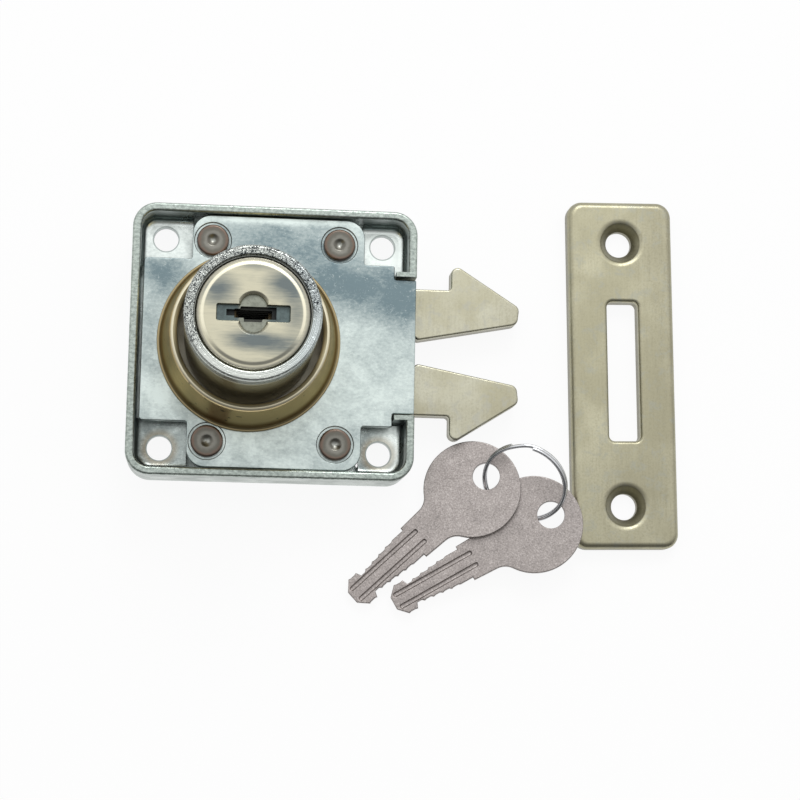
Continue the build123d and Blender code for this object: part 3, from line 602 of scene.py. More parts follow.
barrelLook = dict(bronze=(0.15, 0.125, 0.07), grey=((0.12, 0.115, 0.09), 0.38, 0.62),
                  line=((0.34, 0.30, 0.20), 0.55, 0.75, 0.0, 0.4), top=((0.30, 0.31, 0.29), 17.8, 18.4),
                  low=((0.66, 0.62, 0.47), -3.0, -8.0, 0.0, 0.8), glint=(0.66, 0.61, 0.46),
                  glintBand=(3.0, 9.0), relief=0.006, tint=(0.75, 0.72, 0.62, 1),
                  clouds=[(8.7, -2.6, 1.0, 2.6, 1.0), (-6.3, -6.5, 1.5, 1.2, 0.7),
                          (-9.0, 0.5, 0.8, 3.0, 0.6)])
barrelBronze = darkBronze(barrelLook)


def hammeredChrome(look):
    # bright plating with fine turning lines, painted shade that turns bluer towards the right, and dark
    # worm-like dents on the upper part of the ring's face
    g = Graph("hammeredChrome")
    way = g.math("SUBTRACT", g.y, g.times(g.x, look["slant"]))
    dented = g.times(g.between(way, *look["dentedBand"]), g.between(g.z, *look["faceBand"]))
    # a worm is where a noise is close to its middle value
    worm = g.math("ABSOLUTE", g.math("SUBTRACT", g.noise(look["wormScale"], 1, 0.4, warp=1.6), 0.5))
    pits = g.noise(look["pitScale"], 2, 0.55, warp=1.2)
    worm = g.larger(g.between(worm, *look["wormBand"]), g.between(pits, *look["pitBand"]))
    # painted shade: bluer and darker towards the right
    colour = g.tint(look["bright"], g.x, *look["blue"])
    colour = g.tint(colour, g.noise(look["ringScale"], 2, 0.6, g.along(g.radius())), *look["grey"])
    g.put(g.mix(g.times(worm, dented), colour, look["dark"]), "Base Color")
    g.put(g.bump(pits, look["relief"], 0.9), "Normal")
    return g.set(Metallic=1.0, Roughness=0.14).material


chromeLook = dict(bright=(0.74, 0.77, 0.73), blue=((0.52, 0.59, 0.63), 2.0, 7.0, 0.0, 0.6),
                  grey=((0.25, 0.28, 0.25), 0.46, 0.56, 0.0, 0.75), ringScale=9.0, dark=(0.025, 0.03, 0.035),
                  slant=0.3, dentedBand=(-4.2, -0.8), faceBand=(21.2, 21.5), wormScale=3.0,
                  wormBand=(0.035, 0.07, 1.0, 0.0), pitScale=3.6, pitBand=(0.56, 0.62), relief=0.05)
ringChrome = hammeredChrome(chromeLook)


def satinCap(look):
    # cream steel brushed across, with blue grey clouds as painted reflections, a beige edge of painted shade,
    # and a ring with a painted highlight above and painted shade below
    g = Graph("satinCap")
    r = g.radius()
    brush = g.noise(1.6, 4, 0.7, g.stretched(0.22, 2.8, 1))
    soft = g.noise(0.5, 3, 0.55, g.stretched(0.6, 1.5, 1), warp=0.5)
    # the cream and the blue grey clouds are painted reflections of the brushed face
    total = g.add(g.clouds(look["clouds"]), g.centred(brush, look["brushDepth"]))
    total = g.add(total, g.centred(soft, look["softDepth"]))
    colour = g.mix(g.between(total, *look["greySpan"], smooth=False), look["cream"], look["grey"])
    ring = g.times(g.between(r, *look["ringFrom"]), g.between(r, *look["ringTo"]))
    # the ring gets a painted highlight above and a painted shade line below
    colour = g.mix(g.times(ring, g.between(g.y, *look["highlightBand"])), colour, look["pale"])
    colour = g.mix(g.times(ring, g.between(g.y, *look["shadeLineBand"])), colour, look["line"])
    # painted shade on the rounded edge
    g.put(g.tint(colour, r, *look["edge"]), "Base Color")
    g.put(g.between(brush, 0.3, 0.7, *look["rough"]), "Roughness")
    g.put(g.bump(brush, look["relief"]), "Normal")
    return g.set(Metallic=1.0).material


capLook = dict(cream=(0.57, 0.545, 0.415), grey=(0.155, 0.18, 0.18), greySpan=(0.0, 1.05), brushDepth=0.7,
               softDepth=0.6, ringFrom=(6.35, 6.55), ringTo=(6.75, 6.95, 1.0, 0.0), pale=(0.88, 0.84, 0.66),
               highlightBand=(-4.5, -1.5, 0.0, 0.85), line=(0.16, 0.16, 0.14), shadeLineBand=(-5.5, -3.5, 0.75, 0.0),
               edge=((0.36, 0.345, 0.28), 6.95, 7.15), rough=(0.3, 0.42), relief=0.008,
               clouds=[(-4.6, 2.9, 2.6, 2.4, 1.05), (4.2, 4.0, 2.8, 2.2, 1.15), (0.0, 6.2, 3.6, 0.7, 0.6),
                       (5.6, 0.3, 1.8, 3.2, 0.75), (-0.4, -3.6, 3.2, 1.5, 1.2), (3.6, -4.0, 3.0, 1.6, 0.9),
                       (0.0, 0.0, 3.4, 2.6, 0.25)])
capSteel = satinCap(capLook)


def satinNickel(name, look):
    # khaki-tinted satin plating with soft clouds, faint drawn lines and a few scuffs, with painted shade down
    # its edges
    g = Graph(name)
    fine = g.noise(3.2, 3, 0.75)
    drawn = g.noise(1.3, 3, 0.7, g.stretched(2.4, 0.14, 1, turn=(0, 0, look["turn"])))
    colour = g.tint(look["light"], g.noise(look["cloudScale"], 4, 0.55, warp=0.4), look["olive"], 0.34, 0.66)
    tone = g.add(g.times(fine, 0.6), g.times(drawn, 0.4))
    darkened = g.add(g.between(tone, *look["dullBand"]), g.clouds(look["clouds"]), clamp=True)
    colour = g.mix(darkened, colour, look["dull"])
    colour = g.tint(colour, g.noise(0.55, 4, 0.7, warp=0.6), look["stain"], *look["stainBand"])
    # painted shade down the turned-down edges and sides
    g.put(g.tint(colour, g.z, look["low"], *look["edgeShadeBand"]), "Base Color")
    g.put(g.between(fine, 0.3, 0.7, *look["rough"]), "Roughness")
    g.put(g.bump(tone, look["relief"]), "Normal")
    return g.set(Metallic=1.0).material


strikeLook = dict(light=(0.51, 0.49, 0.355), olive=(0.40, 0.38, 0.265), dull=(0.29, 0.27, 0.19),
                  stain=(0.35, 0.36, 0.31), low=(0.14, 0.13, 0.085), cloudScale=0.11, turn=0.0,
                  dullBand=(0.42, 0.7, 0.0, 0.45), stainBand=(0.5, 0.68, 0.0, 0.5),
                  edgeShadeBand=(-7.35, -8.3, 0.0, 0.75), rough=(0.32, 0.42), relief=0.006,
                  clouds=[(60.5, 2.0, 3.5, 26.0, 0.35), (55.0, -21.0, 9.0, 9.0, 0.45),
                          (59.0, 19.0, 5.0, 8.0, 0.3)])
hookLook = dict(strikeLook, light=(0.55, 0.54, 0.43), olive=(0.45, 0.43, 0.31), dull=(0.34, 0.32, 0.235),
                stain=(0.42, 0.42, 0.37), turn=1.5, edgeShadeBand=(-5.45, -6.6, 0.0, 0.75),
                clouds=[(38.0, 6.0, 3.0, 4.0, 0.3), (27.0, -9.0, 8.0, 2.5, 0.35),
                        (37.0, -7.5, 4.0, 3.0, 0.2)])
strikeNickel = satinNickel("strikeNickel", strikeLook)
hookNickel = satinNickel("hookNickel", hookLook)


def grainyNickel(look):
    # pinkish grey with a coarse even grain
    g = Graph("keyNickel")
    grain = g.noise(look["grainScale"], 2, 0.8)
    tone = g.add(g.times(grain, 0.8), g.times(g.noise(0.5, 3, 0.6), 0.2))
    g.put(g.ramp(tone, [(0.34, look["dark"]), (0.5, look["middle"]), (0.68, look["light"])]), "Base Color")
    g.put(g.bump(grain, look["relief"]), "Normal")
    return g.set(Metallic=1.0, Roughness=0.4).material


keyLook = dict(dark=(0.25, 0.23, 0.22), middle=(0.37, 0.335, 0.32), light=(0.55, 0.51, 0.49),
               grainScale=4.6, relief=0.014)
keyNickel = grainyNickel(keyLook)
print("materials ready")


cover = dict(top=-1.0, bottom=-2.2, armLeft=-8.3, armRight=16.05, armHalf=17.9, armRadius=2.6,
             innerRadius=0.35, bandLeft=-15.0, bandHalf=11.55, bandRadius=0.5, stepX=20.4, stepRadius=0.3,
             hollowRadius=0.25, tabX=23.5, tabHalf=9.6, tabRadius=0.2, holeRadius=7.75, edge=0.16,
             seatRadius=2.6, seatDepth=0.3)
rivets = dict(columns=(-5.45, 12.45), row=14.25, head=2.25, headTop=-0.55, headRound=0.32, seat=-1.3,
              dimple=0.85, dimpleDepth=0.35, dimpleFlare=0.12, spacer=2.0, spacerTop=-2.2, spacerFoot=-8.3,
              neck=1.39, foot=-9.5, chamfer=0.1)


def coverOutline(c):
    # the upper half from the tab round to the band, then the same mirrored and walked backwards
    upper = [(c["tabX"], c["tabHalf"], c["tabRadius"]), (c["stepX"], c["tabHalf"], c["hollowRadius"]),
             (c["stepX"], c["bandHalf"], c["stepRadius"]), (c["armRight"], c["bandHalf"], c["innerRadius"]),
             (c["armRight"], c["armHalf"], c["armRadius"]), (c["armLeft"], c["armHalf"], c["armRadius"]),
             (c["armLeft"], c["bandHalf"], c["innerRadius"]), (c["bandLeft"], c["bandHalf"], c["bandRadius"])]
    return roundedLoop(upper + [(x, -y, radius) for x, y, radius in upper[::-1]], 12)


def makeCover(c, r):
    # a flat plate with a hole for the barrel and four stepped holes that the rivets' heads sit in
    top, bottom, edge = c["top"], c["bottom"], c["edge"]
    sides = plainRows(top, bottom, edge)
    loops = [(wound(cleaned(coverOutline(c))), sides),
             (wound(circleLoop(c["holeRadius"], count=96), False), sides)]
    seat, floor = c["seatRadius"] - r["neck"], top - c["seatDepth"]
    rows = [(seat + 0.1, top), (seat + 0.03, top - 0.02), (seat, top - 0.08), (seat - 0.02, floor + 0.05),
            (seat - 0.08, floor), (0.05, floor), (0, floor - 0.05), (0, bottom + 0.05), (0.05, bottom)]
    for x in r["columns"]:
        for side in (-1, 1):
            loops.append((wound(circleLoop(r["neck"] + 0.01, (x, side * r["row"]), 48), False), rows))
    return cutPlate("coverSheet", loops, "lock_body", coverZinc, ["cover_plate"])


def makeRivets(r):
    # a stepped pin with a rounded head and a dimple that flares out at its mouth
    profile = [(0.0, r["foot"]), (r["neck"] - r["chamfer"], r["foot"]), (r["neck"], r["foot"] + r["chamfer"]),
               (r["neck"], r["spacerFoot"]), (r["spacer"], r["spacerFoot"] + 0.01),
               (r["spacer"], r["spacerTop"] - 0.01), (r["neck"], r["spacerTop"]), (r["neck"], r["seat"]),
               (r["head"] - 0.05, r["seat"]), (r["head"], r["seat"] + 0.06)]
    profile += cornerRound(r["head"], r["headTop"], r["headRound"], r["headRound"])
    profile += [(r["dimple"] * (1 + r["dimpleFlare"] * (1 - b)) * (1 - b),
                 r["headTop"] - r["dimpleDepth"] * math.sin(b * np.pi / 2)) for b in np.linspace(0, 1, 7)]
    places = [(x, side * r["row"]) for x in r["columns"] for side in (-1, 1)]
    return turnedPiece("rivetHeads", profile, 56, places, "lock_body", rivetSteel,
                       ["cover_rivets"])


cylinder = dict(outer=9.0, foot=8.7, neck=7.7, bore=6.06, mouth=7.54, ringBack=18.6, front=8.4,
                lipBack=21.1, seat=19.39, nutBottom=-3.1, coverTop=-1.0, top=22.0, opening=7.65,
                ringRound=0.42, mouthRound=0.25, grooveRadius=7.26, grooveHalf=3.25, grooveFoot=8.6,
                dents=((37, 5), (53, 8), (71, 3), (29, 11)), dentIn=0.012, dentDown=0.02)
collar = dict(outer=12.847, foot=-0.95, top=7.35, sheet=0.5, flange=0.45, flare=0.15, crest=10.45,
              shoulder=0.6, lip=9.95, lipDrop=0.3)
cap = dict(outer=7.48, inner=7.08, top=21.6, bottom=20.35, back=20.95, slotHalf=(4.7, 1.025), slotCorner=0.18,
           eye=1.75, eyeRise=0.75, face=6.55, drop=0.1, edge=0.3, slotLip=0.13, eyeLip=0.45, lipDepth=0.34)


def evenRuns(profile, near=0.06):
    # a long run gets a point close to each end, so its shading stays even
    rows = [profile[0]]
    for a, b in zip(profile, profile[1:]):
        step = np.subtract(b, a) * min(near / math.dist(a, b), 0.25)
        rows += [tuple(a + step), tuple(b - step), b]
    return rows


def makeBarrel(c):
    # a turned body with a neck below, a step for the front ring and a mouth for the plug's head
    foot = c["grooveFoot"]
    profile = [(c["bore"], c["nutBottom"]), (c["neck"], c["nutBottom"]), (c["neck"], c["coverTop"]),
               (c["foot"], c["coverTop"]), (c["foot"], 0.0), (c["outer"] - 0.04, 0.0), (c["outer"], 0.04),
               (c["outer"], c["ringBack"] - 0.12), (c["outer"] - 0.1, c["ringBack"]),
               (c["front"], c["ringBack"] + 0.01), (c["front"], c["lipBack"]),
               (c["mouth"] + 0.06, c["lipBack"]), (c["mouth"], c["lipBack"] - 0.06), (c["mouth"], c["seat"]),
               (c["bore"], c["seat"]), (c["bore"], foot + 0.05), (c["bore"], foot)]

    def grooved(radius, height, angle):
        # four flat-sided grooves for the wafers: the wall is where x or y reaches the groove's half width
        least = np.minimum(np.abs(np.sin(angle)), np.abs(np.cos(angle)))
        reach = np.clip(c["grooveHalf"] / np.maximum(least, 1e-6), c["bore"], c["grooveRadius"])
        cut = (radius < c["bore"] + 0.1) & (height > foot + 0.01)
        return radius + (reach - c["bore"]) * cut, height

    return turnedPiece("barrelBody", evenRuns(profile), 144, [(0, 0)], "lock_body",
                       barrelBronze, ["barrel"], grooved)


def makeFrontRing(c):
    # a sleeve over the barrel's step, rounded outside and round its mouth
    seat, back, lip = c["front"] + 0.04, c["ringBack"], c["lipBack"]
    profile = [(seat, back), (c["outer"] - 0.06, back), (c["outer"], back + 0.06)]
    profile += cornerRound(c["outer"], c["top"], c["ringRound"], c["ringRound"])
    profile += cornerRound(c["opening"], c["top"], -c["mouthRound"], c["mouthRound"])[::-1]
    profile += [(c["opening"], lip + 0.05), (c["opening"] + 0.05, lip), (seat, lip)]

    def hammered(radius, height, angle):
        # small dents, the size of a sum of sines of the angle, that fade out towards the ring's lower side
        fade = np.clip(0.5 + 0.9 * np.sin(angle), 0, 1) * (height > lip + 0.2)
        dents = np.abs(sum(np.sin(k * angle + 2.3 * k + radius * f) for k, f in c["dents"])) * fade
        return radius - c["dentIn"] * dents, height - c["dentDown"] * dents

    return turnedPiece("frontRing", profile, 360, [(0, 0)], "lock_body", ringChrome,
                       ["front_ring"], hammered)


def makeCollar(c):
    # a bell of thin sheet: a flat foot, a wall hollowed by a parabola, a quarter round and a turned-in lip
    foot = np.array([c["outer"] - c["flange"], c["foot"] + c["sheet"]])
    head = np.array([c["crest"] + c["shoulder"], c["top"] - c["shoulder"]])
    t = np.linspace(0, 1, 17)[:, None]
    wall = foot + (head - foot) * t - np.array([c["flare"], 0]) * 4 * t * (1 - t)
    a = np.linspace(0, np.pi / 2, 9)[1:]
    shoulder = np.stack([np.cos(a), np.sin(a)], 1) * c["shoulder"] + (c["crest"], c["top"] - c["shoulder"])
    inside = wall - (c["sheet"], 0)
    inside[0, 1] = c["foot"]
    lipTop = c["top"] - c["lipDrop"]
    lip = [(c["lip"] + 0.12, lipTop + 0.05), (c["lip"] + 0.02, lipTop - 0.06), (c["lip"], lipTop - 0.15),
           (c["lip"], lipTop - c["sheet"]), (c["crest"], c["top"] - c["sheet"])]
    edge = [(c["outer"] - 0.05, c["foot"]), (c["outer"], c["foot"] + 0.05), (c["outer"], foot[1] - 0.12),
            (c["outer"] - 0.04, foot[1] - 0.03), (c["outer"] - 0.14, foot[1]), (foot[0] + 0.1, foot[1])]
    profile = np.vstack([edge, wall[1:], shoulder, lip, inside[::-1]])
    return turnedPiece("collarBell", profile, 192, [(0, 0)], "collar_body", collarBrass,
                       ["base_collar"])


def capHole(c):
    # a wide slot with a tall eye over its middle, whose half circles stand apart above and below the slot
    half, high = c["slotHalf"]
    rise, eye, corner = c["eyeRise"], c["eye"], c["slotCorner"]
    start = math.sqrt(eye ** 2 - (high - rise) ** 2) + 0.6
    lean = math.degrees(math.asin((high - rise) / eye))
    right = roundedLoop([(start, -high, 0), (half, -high, corner), (half, high, corner), (start, high, 0)])
    eyeTop = arcPoints((0, rise), eye, lean, 180 - lean)
    return cleaned(np.vstack([right, eyeTop, -right, -eyeTop]), 0.02)


def makeCap(c):
    # a cup with a domed face, a rounded edge and a lipped hole
    outer = wound(circleLoop(c["outer"], count=144))
    face, top, bottom, back = c["outer"] - c["face"], c["top"], c["bottom"], c["back"]
    shelf = top - c["drop"]
    wall = c["outer"] - c["inner"]
    rows = [(face + 0.25, top), (face + 0.1, top - 0.01), (face - 0.1, top - 0.045),
            (face - 0.28, shelf + 0.01), (face - 0.42, shelf)]
    rows += roundRows(shelf, c["edge"], 5)
    rows += [(0, bottom + 0.05), (0.05, bottom), (wall - 0.05, bottom), (wall, bottom + 0.05),
             (wall, back - 0.02), (wall + 0.05, back)]
    hole = wound(dense(capHole(c), 0.4), False)
    # the lip is narrow along the slot and grows broad round the eye
    broad = np.clip((np.abs(hole[:, 1]) - c["slotHalf"][1]) / 0.5, 0, 1)
    weight = c["slotLip"] + (c["eyeLip"] - c["slotLip"]) * broad * broad * (3 - 2 * broad)
    holeRows = [(1 - a, top - c["lipDepth"] * a ** 1.4) for a in np.linspace(0, 1, 8)]
    holeRows += [(0, back + 0.05), (0.05, back)]
    return cutPlate("capFace", [(outer, rows), (hole, holeRows, weight)], "plug_body", capSteel,
                    ["plug_cap"])


print("making the lock")
makeCover(cover, rivets)
makeRivets(rivets)
makeBarrel(cylinder)
makeFrontRing(cylinder)
makeCollar(collar)
makeCap(cap)

# corners are (x, y, radius) of the upper hook, and holes are (x, y, radius) of its pivot and its cam pin
hook = dict(top=-5.2, bottom=-8.2, edge=0.3, holeEdge=0.1, holes=[(16.0, 4.4, 1.55), (0.0, 4.6, 1.21)],
            corners=[(-1.9, 2.7, 1.85), (23.0, 2.5, 1.0), (24.35, 1.72, 0.7), (38.75, 4.46, 1.1),
                     (39.05, 6.98, 1.1), (29.0, 13.38, 1.0), (29.0, 9.2, 0.5), (16.0, 9.2, 3.0),
                     (-1.9, 6.5, 1.85)])


def makeHook(name, side, h):
    # a flat barbed bolt with two holes, mirrored for the lower one
    outline = wound(cleaned(roundedLoop([(x, side * y, radius) for x, y, radius in h["corners"]])))
    loops = [(outline, plainRows(h["top"], h["bottom"], h["edge"], 5))]
    for x, y, radius in h["holes"]:
        loops.append((wound(circleLoop(radius, (x, side * y), 48), False),
                      plainRows(h["top"], h["bottom"], h["holeEdge"], 2)))
    return cutPlate(f"{name}HookPlate", loops, f"{name}_hook_body", hookNickel,
                    [f"{name}_hook"])


makeHook("upper", 1, hook)
makeHook("lower", -1, hook)
print("lock made")


def lyingPlace(place, heading, pitch=0.0, roll=0.0):
    # X runs along the heading and dips by the pitch, and the piece rolls about that X
    turn = (Matrix.Rotation(math.radians(heading), 3, "Z") @ Matrix.Rotation(math.radians(pitch), 3, "Y")
            @ Matrix.Rotation(math.radians(roll), 3, "X"))
    turn = np.array(turn)
    return lambda points: points @ turn.T + np.array(place)


strike = dict(width=15.5, length=51.2, height=2.6, sheet=1.1, place=(54.7, -1.85, -9.5), turn=1.45,
              corner=2.2, edge=1.0, slot=(4.6, 20.5), slotShift=(0.15, 0.35), slotCorner=0.8, slotEdge=0.55,
              spacing=38.85, hole=1.9, sink=3.1, sinkDepth=1.5, sinkLip=0.22, sinkReach=0.55)


def makeStrike(s):
    # an open pressing: its rim, slot and sinks are turned down to the table, and the rest is one sheet thick
    top, sheet = s["height"], s["sheet"]
    under = top - sheet

    def footRows(wide, cut=0.05):
        # the foot of a turned-down wall, then up its inner side to the sheet's underside
        return [(cut, 0), (wide - cut, 0), (wide, cut), (wide, under - 0.1), (wide + 0.1, under)]

    outer = wound(dense(cleaned(roundedBox(s["width"], s["length"], s["corner"])), 2.5))
    slot = wound(dense(cleaned(roundedBox(*s["slot"], s["slotCorner"], s["slotShift"])), 2.5), False)
    loops = [(outer, roundRows(top, s["edge"], 7) + [(0, 0.08)] + footRows(sheet, 0.06)),
             (slot, roundRows(top, s["slotEdge"], 6) + [(0, 0.05)] + footRows(sheet))]
    # the sheet dips into each sink over a soft lip, then runs down a cone to the hole
    reach, foot = s["sink"] - s["hole"], top - s["sinkDepth"]
    lip = [(reach + s["sinkReach"] - 0.75 * a, top - s["sinkLip"] * a ** 2) for a in np.linspace(0, 1, 7)]
    cone = [(0.12, foot + 0.12), (0.02, foot + 0.02), (0, foot - 0.06), (0, 0.05)]
    for side in (-1, 1):
        ring = wound(circleLoop(s["hole"], (0, side * s["spacing"] / 2)), False)
        loops.append((ring, lip + cone + footRows(reach + sheet / 2)))
    return cutPlate("strikeSheet", loops, "strike_body", strikeNickel, ["strike_plate"],
                    lyingPlace(s["place"], s["turn"]))


makeStrike(strike)
print("strike plate made")


key = dict(thick=0.9, bow=7.0, hole=1.95, holeOffset=2.75, root=3.2, neck=2.75, neckLength=11.4, fillet=2.5,
           blade=2.3, bladeLength=11.7, pointLength=1.3, point=0.95, cuts=(2.15, 2.0, 1.85, 1.7, 1.5, 2.2),
           firstCut=2.7, pitch=1.4, flat=0.35, ridge=0.1, grooveWidth=0.55, grooveDepth=0.3,
           grooveOffset=0.95, grooveLead=1.6, grooveEnd=0.55, edge=0.14, holeEdge=0.1)
keyPlaces = {"key_1": dict(place=(32.721, -19.453, -6.972), heading=223.3, pitch=4.255, roll=9.077),
             "key_2": dict(place=(41.694, -24.295, -6.435), heading=210.5, pitch=5.851, roll=6.48)}


def keyHalf(k):
    # one edge of the key from its bow's back to its point: bow arc, hollow fillet, neck, step and cuts
    run = np.array([k["neckLength"], k["neck"] - k["root"]])
    run /= np.linalg.norm(run)
    out = np.array([-run[1], run[0]])
    level = out @ np.array([0, k["root"]]) + k["fillet"]
    reach = k["bow"] + k["fillet"]
    centre = level * out + math.sqrt(reach ** 2 - level ** 2) * run
    touch = math.degrees(math.atan2(centre[1], centre[0]))
    bow = arcPoints((0, 0), k["bow"], 180, touch, 4)
    down = math.degrees(math.atan2(-out[1], -out[0]))
    hollow = arcPoints(centre, k["fillet"], touch - 180, down, 8)[1:]
    edge = [(k["neckLength"] - 0.02, k["neck"]), (k["neckLength"], k["blade"]),
            (k["neckLength"] + k["firstCut"] - k["pitch"] / 2, k["blade"])]
    for i, half in enumerate(k["cuts"]):
        middle = k["neckLength"] + k["firstCut"] + i * k["pitch"]
        edge += [(middle - k["flat"], half), (middle + k["flat"], half)]
        if i + 1 < len(k["cuts"]):
            ridge = min(k["blade"], max(half, k["cuts"][i + 1]) + k["ridge"])
            edge.append((middle + k["pitch"] / 2, ridge))
    tip = k["neckLength"] + k["bladeLength"]
    edge += [(tip - k["pointLength"], k["blade"]), (tip, k["point"])]
    return np.vstack([bow, hollow, edge])


def makeKey(name, k, lie):
    # a flat blank with a hole in its bow and two round-ended grooves sunk in its face
    half = keyHalf(k)
    loop = wound(cleaned(np.vstack([half, (half * [1, -1])[::-1][:-1]]), 0.01))
    top = k["thick"] / 2
    hole = wound(circleLoop(k["hole"], (-k["holeOffset"], 0), 64), False)
    loops = [(loop, plainRows(top, -top, k["edge"], 3)), (hole, plainRows(top, -top, k["holeEdge"], 3))]
    start = k["neckLength"] - k["grooveLead"]
    end = k["neckLength"] + k["bladeLength"] - k["grooveEnd"]
    wide, deep = k["grooveWidth"], k["grooveDepth"]
    grooveRows = [(0.05, top), (0.0, top - 0.05), (-0.05, top - deep * 0.6), (-0.12, top - deep)]
    pockets = []
    for side in (-1, 1):
        slot = roundedBox(end - start, wide + 0.1, wide / 2, ((start + end) / 2, side * k["grooveOffset"]))
        pockets.append((wound(dense(cleaned(slot), 1.5), False), grooveRows))
    return cutPlate(f"{name}Blank".replace("_", ""), loops, f"{name}_body", keyNickel, [name],
                    lyingPlace(**lie), pockets)


for name, lie in keyPlaces.items():
    makeKey(name, key, lie)

ring = dict(place=(40.039, -18.455, -5.089), uphill=56.27, tilt=41.06, radius=5.944, wire=0.28, gap=0.03,
            stepStart=20.0, stepAngle=32.0, steps=420, sides=20, tip=0.3)


def makeRing(r):
    # two flat turns of wire with a smooth step between them; the cross-section is a circle about the path
    low = r["stepStart"] - (360 - r["stepAngle"])
    high = r["stepStart"] + 360
    a = np.linspace(low, high, r["steps"])
    s = np.clip((a - r["stepStart"]) / r["stepAngle"], 0, 1)
    half = r["wire"] + r["gap"] / 2
    height = -half + 2 * half * s * s * (3 - 2 * s)
    t = np.radians(a)
    path = np.stack([r["radius"] * np.cos(t), r["radius"] * np.sin(t), height], 1)
    along = np.gradient(path, axis=0)
    along /= np.linalg.norm(along, axis=1)[:, None]
    out = np.stack([np.cos(t), np.sin(t), 0 * t], 1)
    up = np.cross(out, along)
    # the two ends are rounded off by rings that shrink along the path
    ends = np.array([0.0, 0.5, 0.8, 0.95])
    back = r["wire"] * r["tip"] * (1 - ends[:, None])
    path = np.vstack([path[0] - along[0] * back, path[1:-1], path[-1] + along[-1] * back[::-1]])
    pad = ((len(ends) - 1,) * 2, (0, 0))
    out, up = np.pad(out, pad, "edge"), np.pad(up, pad, "edge")
    size = np.full(len(path), r["wire"])
    shrunk = np.sqrt(1 - (1 - ends) ** 2) + 1e-3
    size[:len(ends)] *= shrunk
    size[-len(ends):] *= shrunk[::-1]
    turn = np.linspace(0, 2 * np.pi, r["sides"], endpoint=False)[None, :, None]
    points = path[:, None] + size[:, None, None] * (np.cos(turn) * out[:, None] + np.sin(turn) * up[:, None])
    points = points.reshape(-1, 3)
    faces = gridFaces(len(path), r["sides"])[:, ::-1].tolist()
    last = len(points) - 1
    faces += [list(range(r["sides"])), list(range(last, last - r["sides"], -1))]
    points = lyingPlace(r["place"], r["uphill"], -r["tilt"])(points)
    return newPiece("splitRing", points, faces, "ring_body", wireChrome, ["key_ring"])


makeRing(ring)
print("keys and ring made")


nodeMaterials = {"case": caseZinc, "barrel_nut": innerSteel, "pivot_pins": innerSteel, "plug": castZinc,
                 "driver_plate": innerSteel, "driver_screw": turnedSteel, "plug_clip": innerSteel,
                 "wafer_springs": springSteel, "upper_cam_pin": turnedSteel, "lower_cam_pin": turnedSteel}
nodeMaterials.update({f"wafer_{i}": waferBrass for i in range(1, 7)})
for name, material in nodeMaterials.items():
    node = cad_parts[name]
    if node.material_slots:
        for slot in node.material_slots:
            slot.material = material
    else:
        node.data.materials.append(material)
print("kept nodes dressed")


# leanBand is how the tent's light grows from the near side to the far, and riseBand from the floor up
studio = dict(floorZ=-9.52, floorHalf=700, floorGlow=0.92, paper=(0.9, 0.9, 0.9, 1),
              leanBand=(-0.75, 0.35, 0.16, 1.25), riseBand=(0.05, 0.75, 0.55, 1.0),
              lamp=(60, 320, 330), lampAim=(15, 0, 0), lampSize=160, lampPower=0.55)


def makeFloor(s):
    # matt paper that takes the shadow, and glows a plain white for the camera and in reflections
    half, z = s["floorHalf"], s["floorZ"]
    corners = [(-half, -half, z), (half, -half, z), (half, half, z), (-half, half, z)]
    mesh = bpy.data.meshes.new("floor")
    mesh.from_pydata((np.array(corners) / 1000).tolist(), [], [(0, 1, 2, 3)])
    floor = bpy.data.objects.new("floor", mesh)
    bpy.context.scene.collection.objects.link(floor)
    material = bpy.data.materials.new("floorPaper")
    material.use_nodes = True
    tree = material.node_tree
    tree.nodes.clear()
    paper = newNode(tree, "BsdfDiffuse", {"Color": s["paper"]}).outputs[0]
    glow = newNode(tree, "Emission").outputs[0]
    rays = newNode(tree, "LightPath").outputs
    seen = newNode(tree, "Math", {0: rays["Is Camera Ray"], 1: rays["Is Glossy Ray"]}, operation="MAXIMUM")
    share = newNode(tree, "Math", {0: seen.outputs[0], 1: s["floorGlow"]}, operation="MULTIPLY").outputs[0]
    both = newNode(tree, "MixShader", {0: share, 1: paper, 2: glow})
    newNode(tree, "OutputMaterial", {0: both.outputs[0]})
    mesh.materials.append(material)


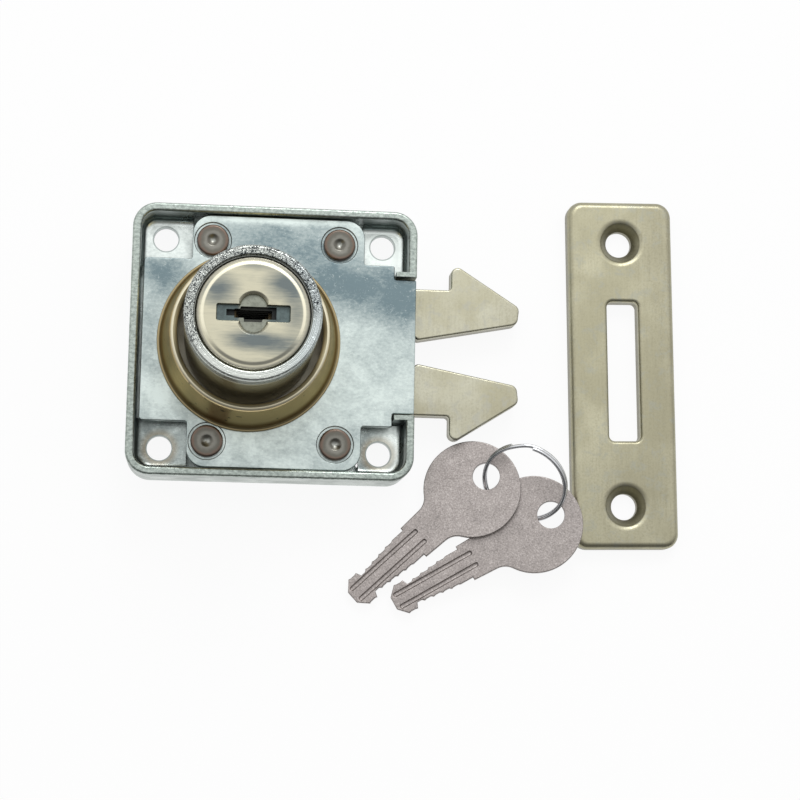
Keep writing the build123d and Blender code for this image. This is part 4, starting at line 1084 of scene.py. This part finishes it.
def makeWorld(s):
    # white for the camera, and for the rest a tent that is bright overhead and darkens to the near side
    world = bpy.data.worlds.new("studio")
    bpy.context.scene.world = world
    world.use_nodes = True
    tree = world.node_tree
    tree.nodes.clear()
    where = newNode(tree, "TexCoord").outputs["Generated"]
    parts = newNode(tree, "SeparateXYZ", {0: where}).outputs
    lean = rangeNode(tree, parts[1], *s["leanBand"])
    rise = rangeNode(tree, parts[2], *s["riseBand"], smooth=False)
    level = newNode(tree, "Math", {0: lean, 1: rise}, operation="MULTIPLY").outputs[0]
    tent = newNode(tree, "Background", {"Color": level}).outputs[0]
    white = newNode(tree, "Background", {"Color": (1, 1, 1, 1)}).outputs[0]
    seen = newNode(tree, "LightPath").outputs["Is Camera Ray"]
    both = newNode(tree, "MixShader", {0: seen, 1: tent, 2: white})
    newNode(tree, "OutputWorld", {0: both.outputs[0]})


def makeLamp(s):
    # a small square lamp behind and above the lock, turned to it
    light = bpy.data.lights.new("farLamp", "AREA")
    light.size = s["lampSize"] / 1000
    light.energy = s["lampPower"]
    lamp = bpy.data.objects.new("farLamp", light)
    bpy.context.scene.collection.objects.link(lamp)
    place, aim = Vector(s["lamp"]) / 1000, Vector(s["lampAim"]) / 1000
    lamp.location = place
    lamp.rotation_euler = (aim - place).to_track_quat("-Z", "Y").to_euler()


# place is in millimetres, and near and far are in metres
camera = dict(place=(-5.997, -46.122, 276.951), look=(0.09744, 0.1365, -0.98584),
              up=(-0.03183, 0.99047, 0.13399), lens=90, sensor=36, near=0.01, far=10)


def makeCamera(c):
    # its axes are the backward look, the way to its right and the up that is square to both
    data = bpy.data.cameras.new("camera")
    data.lens = c["lens"]
    data.sensor_width = c["sensor"]
    data.clip_start = c["near"]
    data.clip_end = c["far"]
    view = bpy.data.objects.new("camera", data)
    bpy.context.scene.collection.objects.link(view)
    back = -Vector(c["look"]).normalized()
    right = Vector(c["up"]).cross(back).normalized()
    place = Matrix((right, back.cross(right), back)).transposed().to_4x4()
    place.translation = Vector(c["place"]) / 1000
    view.matrix_world = place
    bpy.context.scene.camera = view


makeFloor(studio)
makeWorld(studio)
makeLamp(studio)
makeCamera(camera)
bpy.context.scene.view_settings.view_transform = "Standard"
print("floor, light and camera ready")
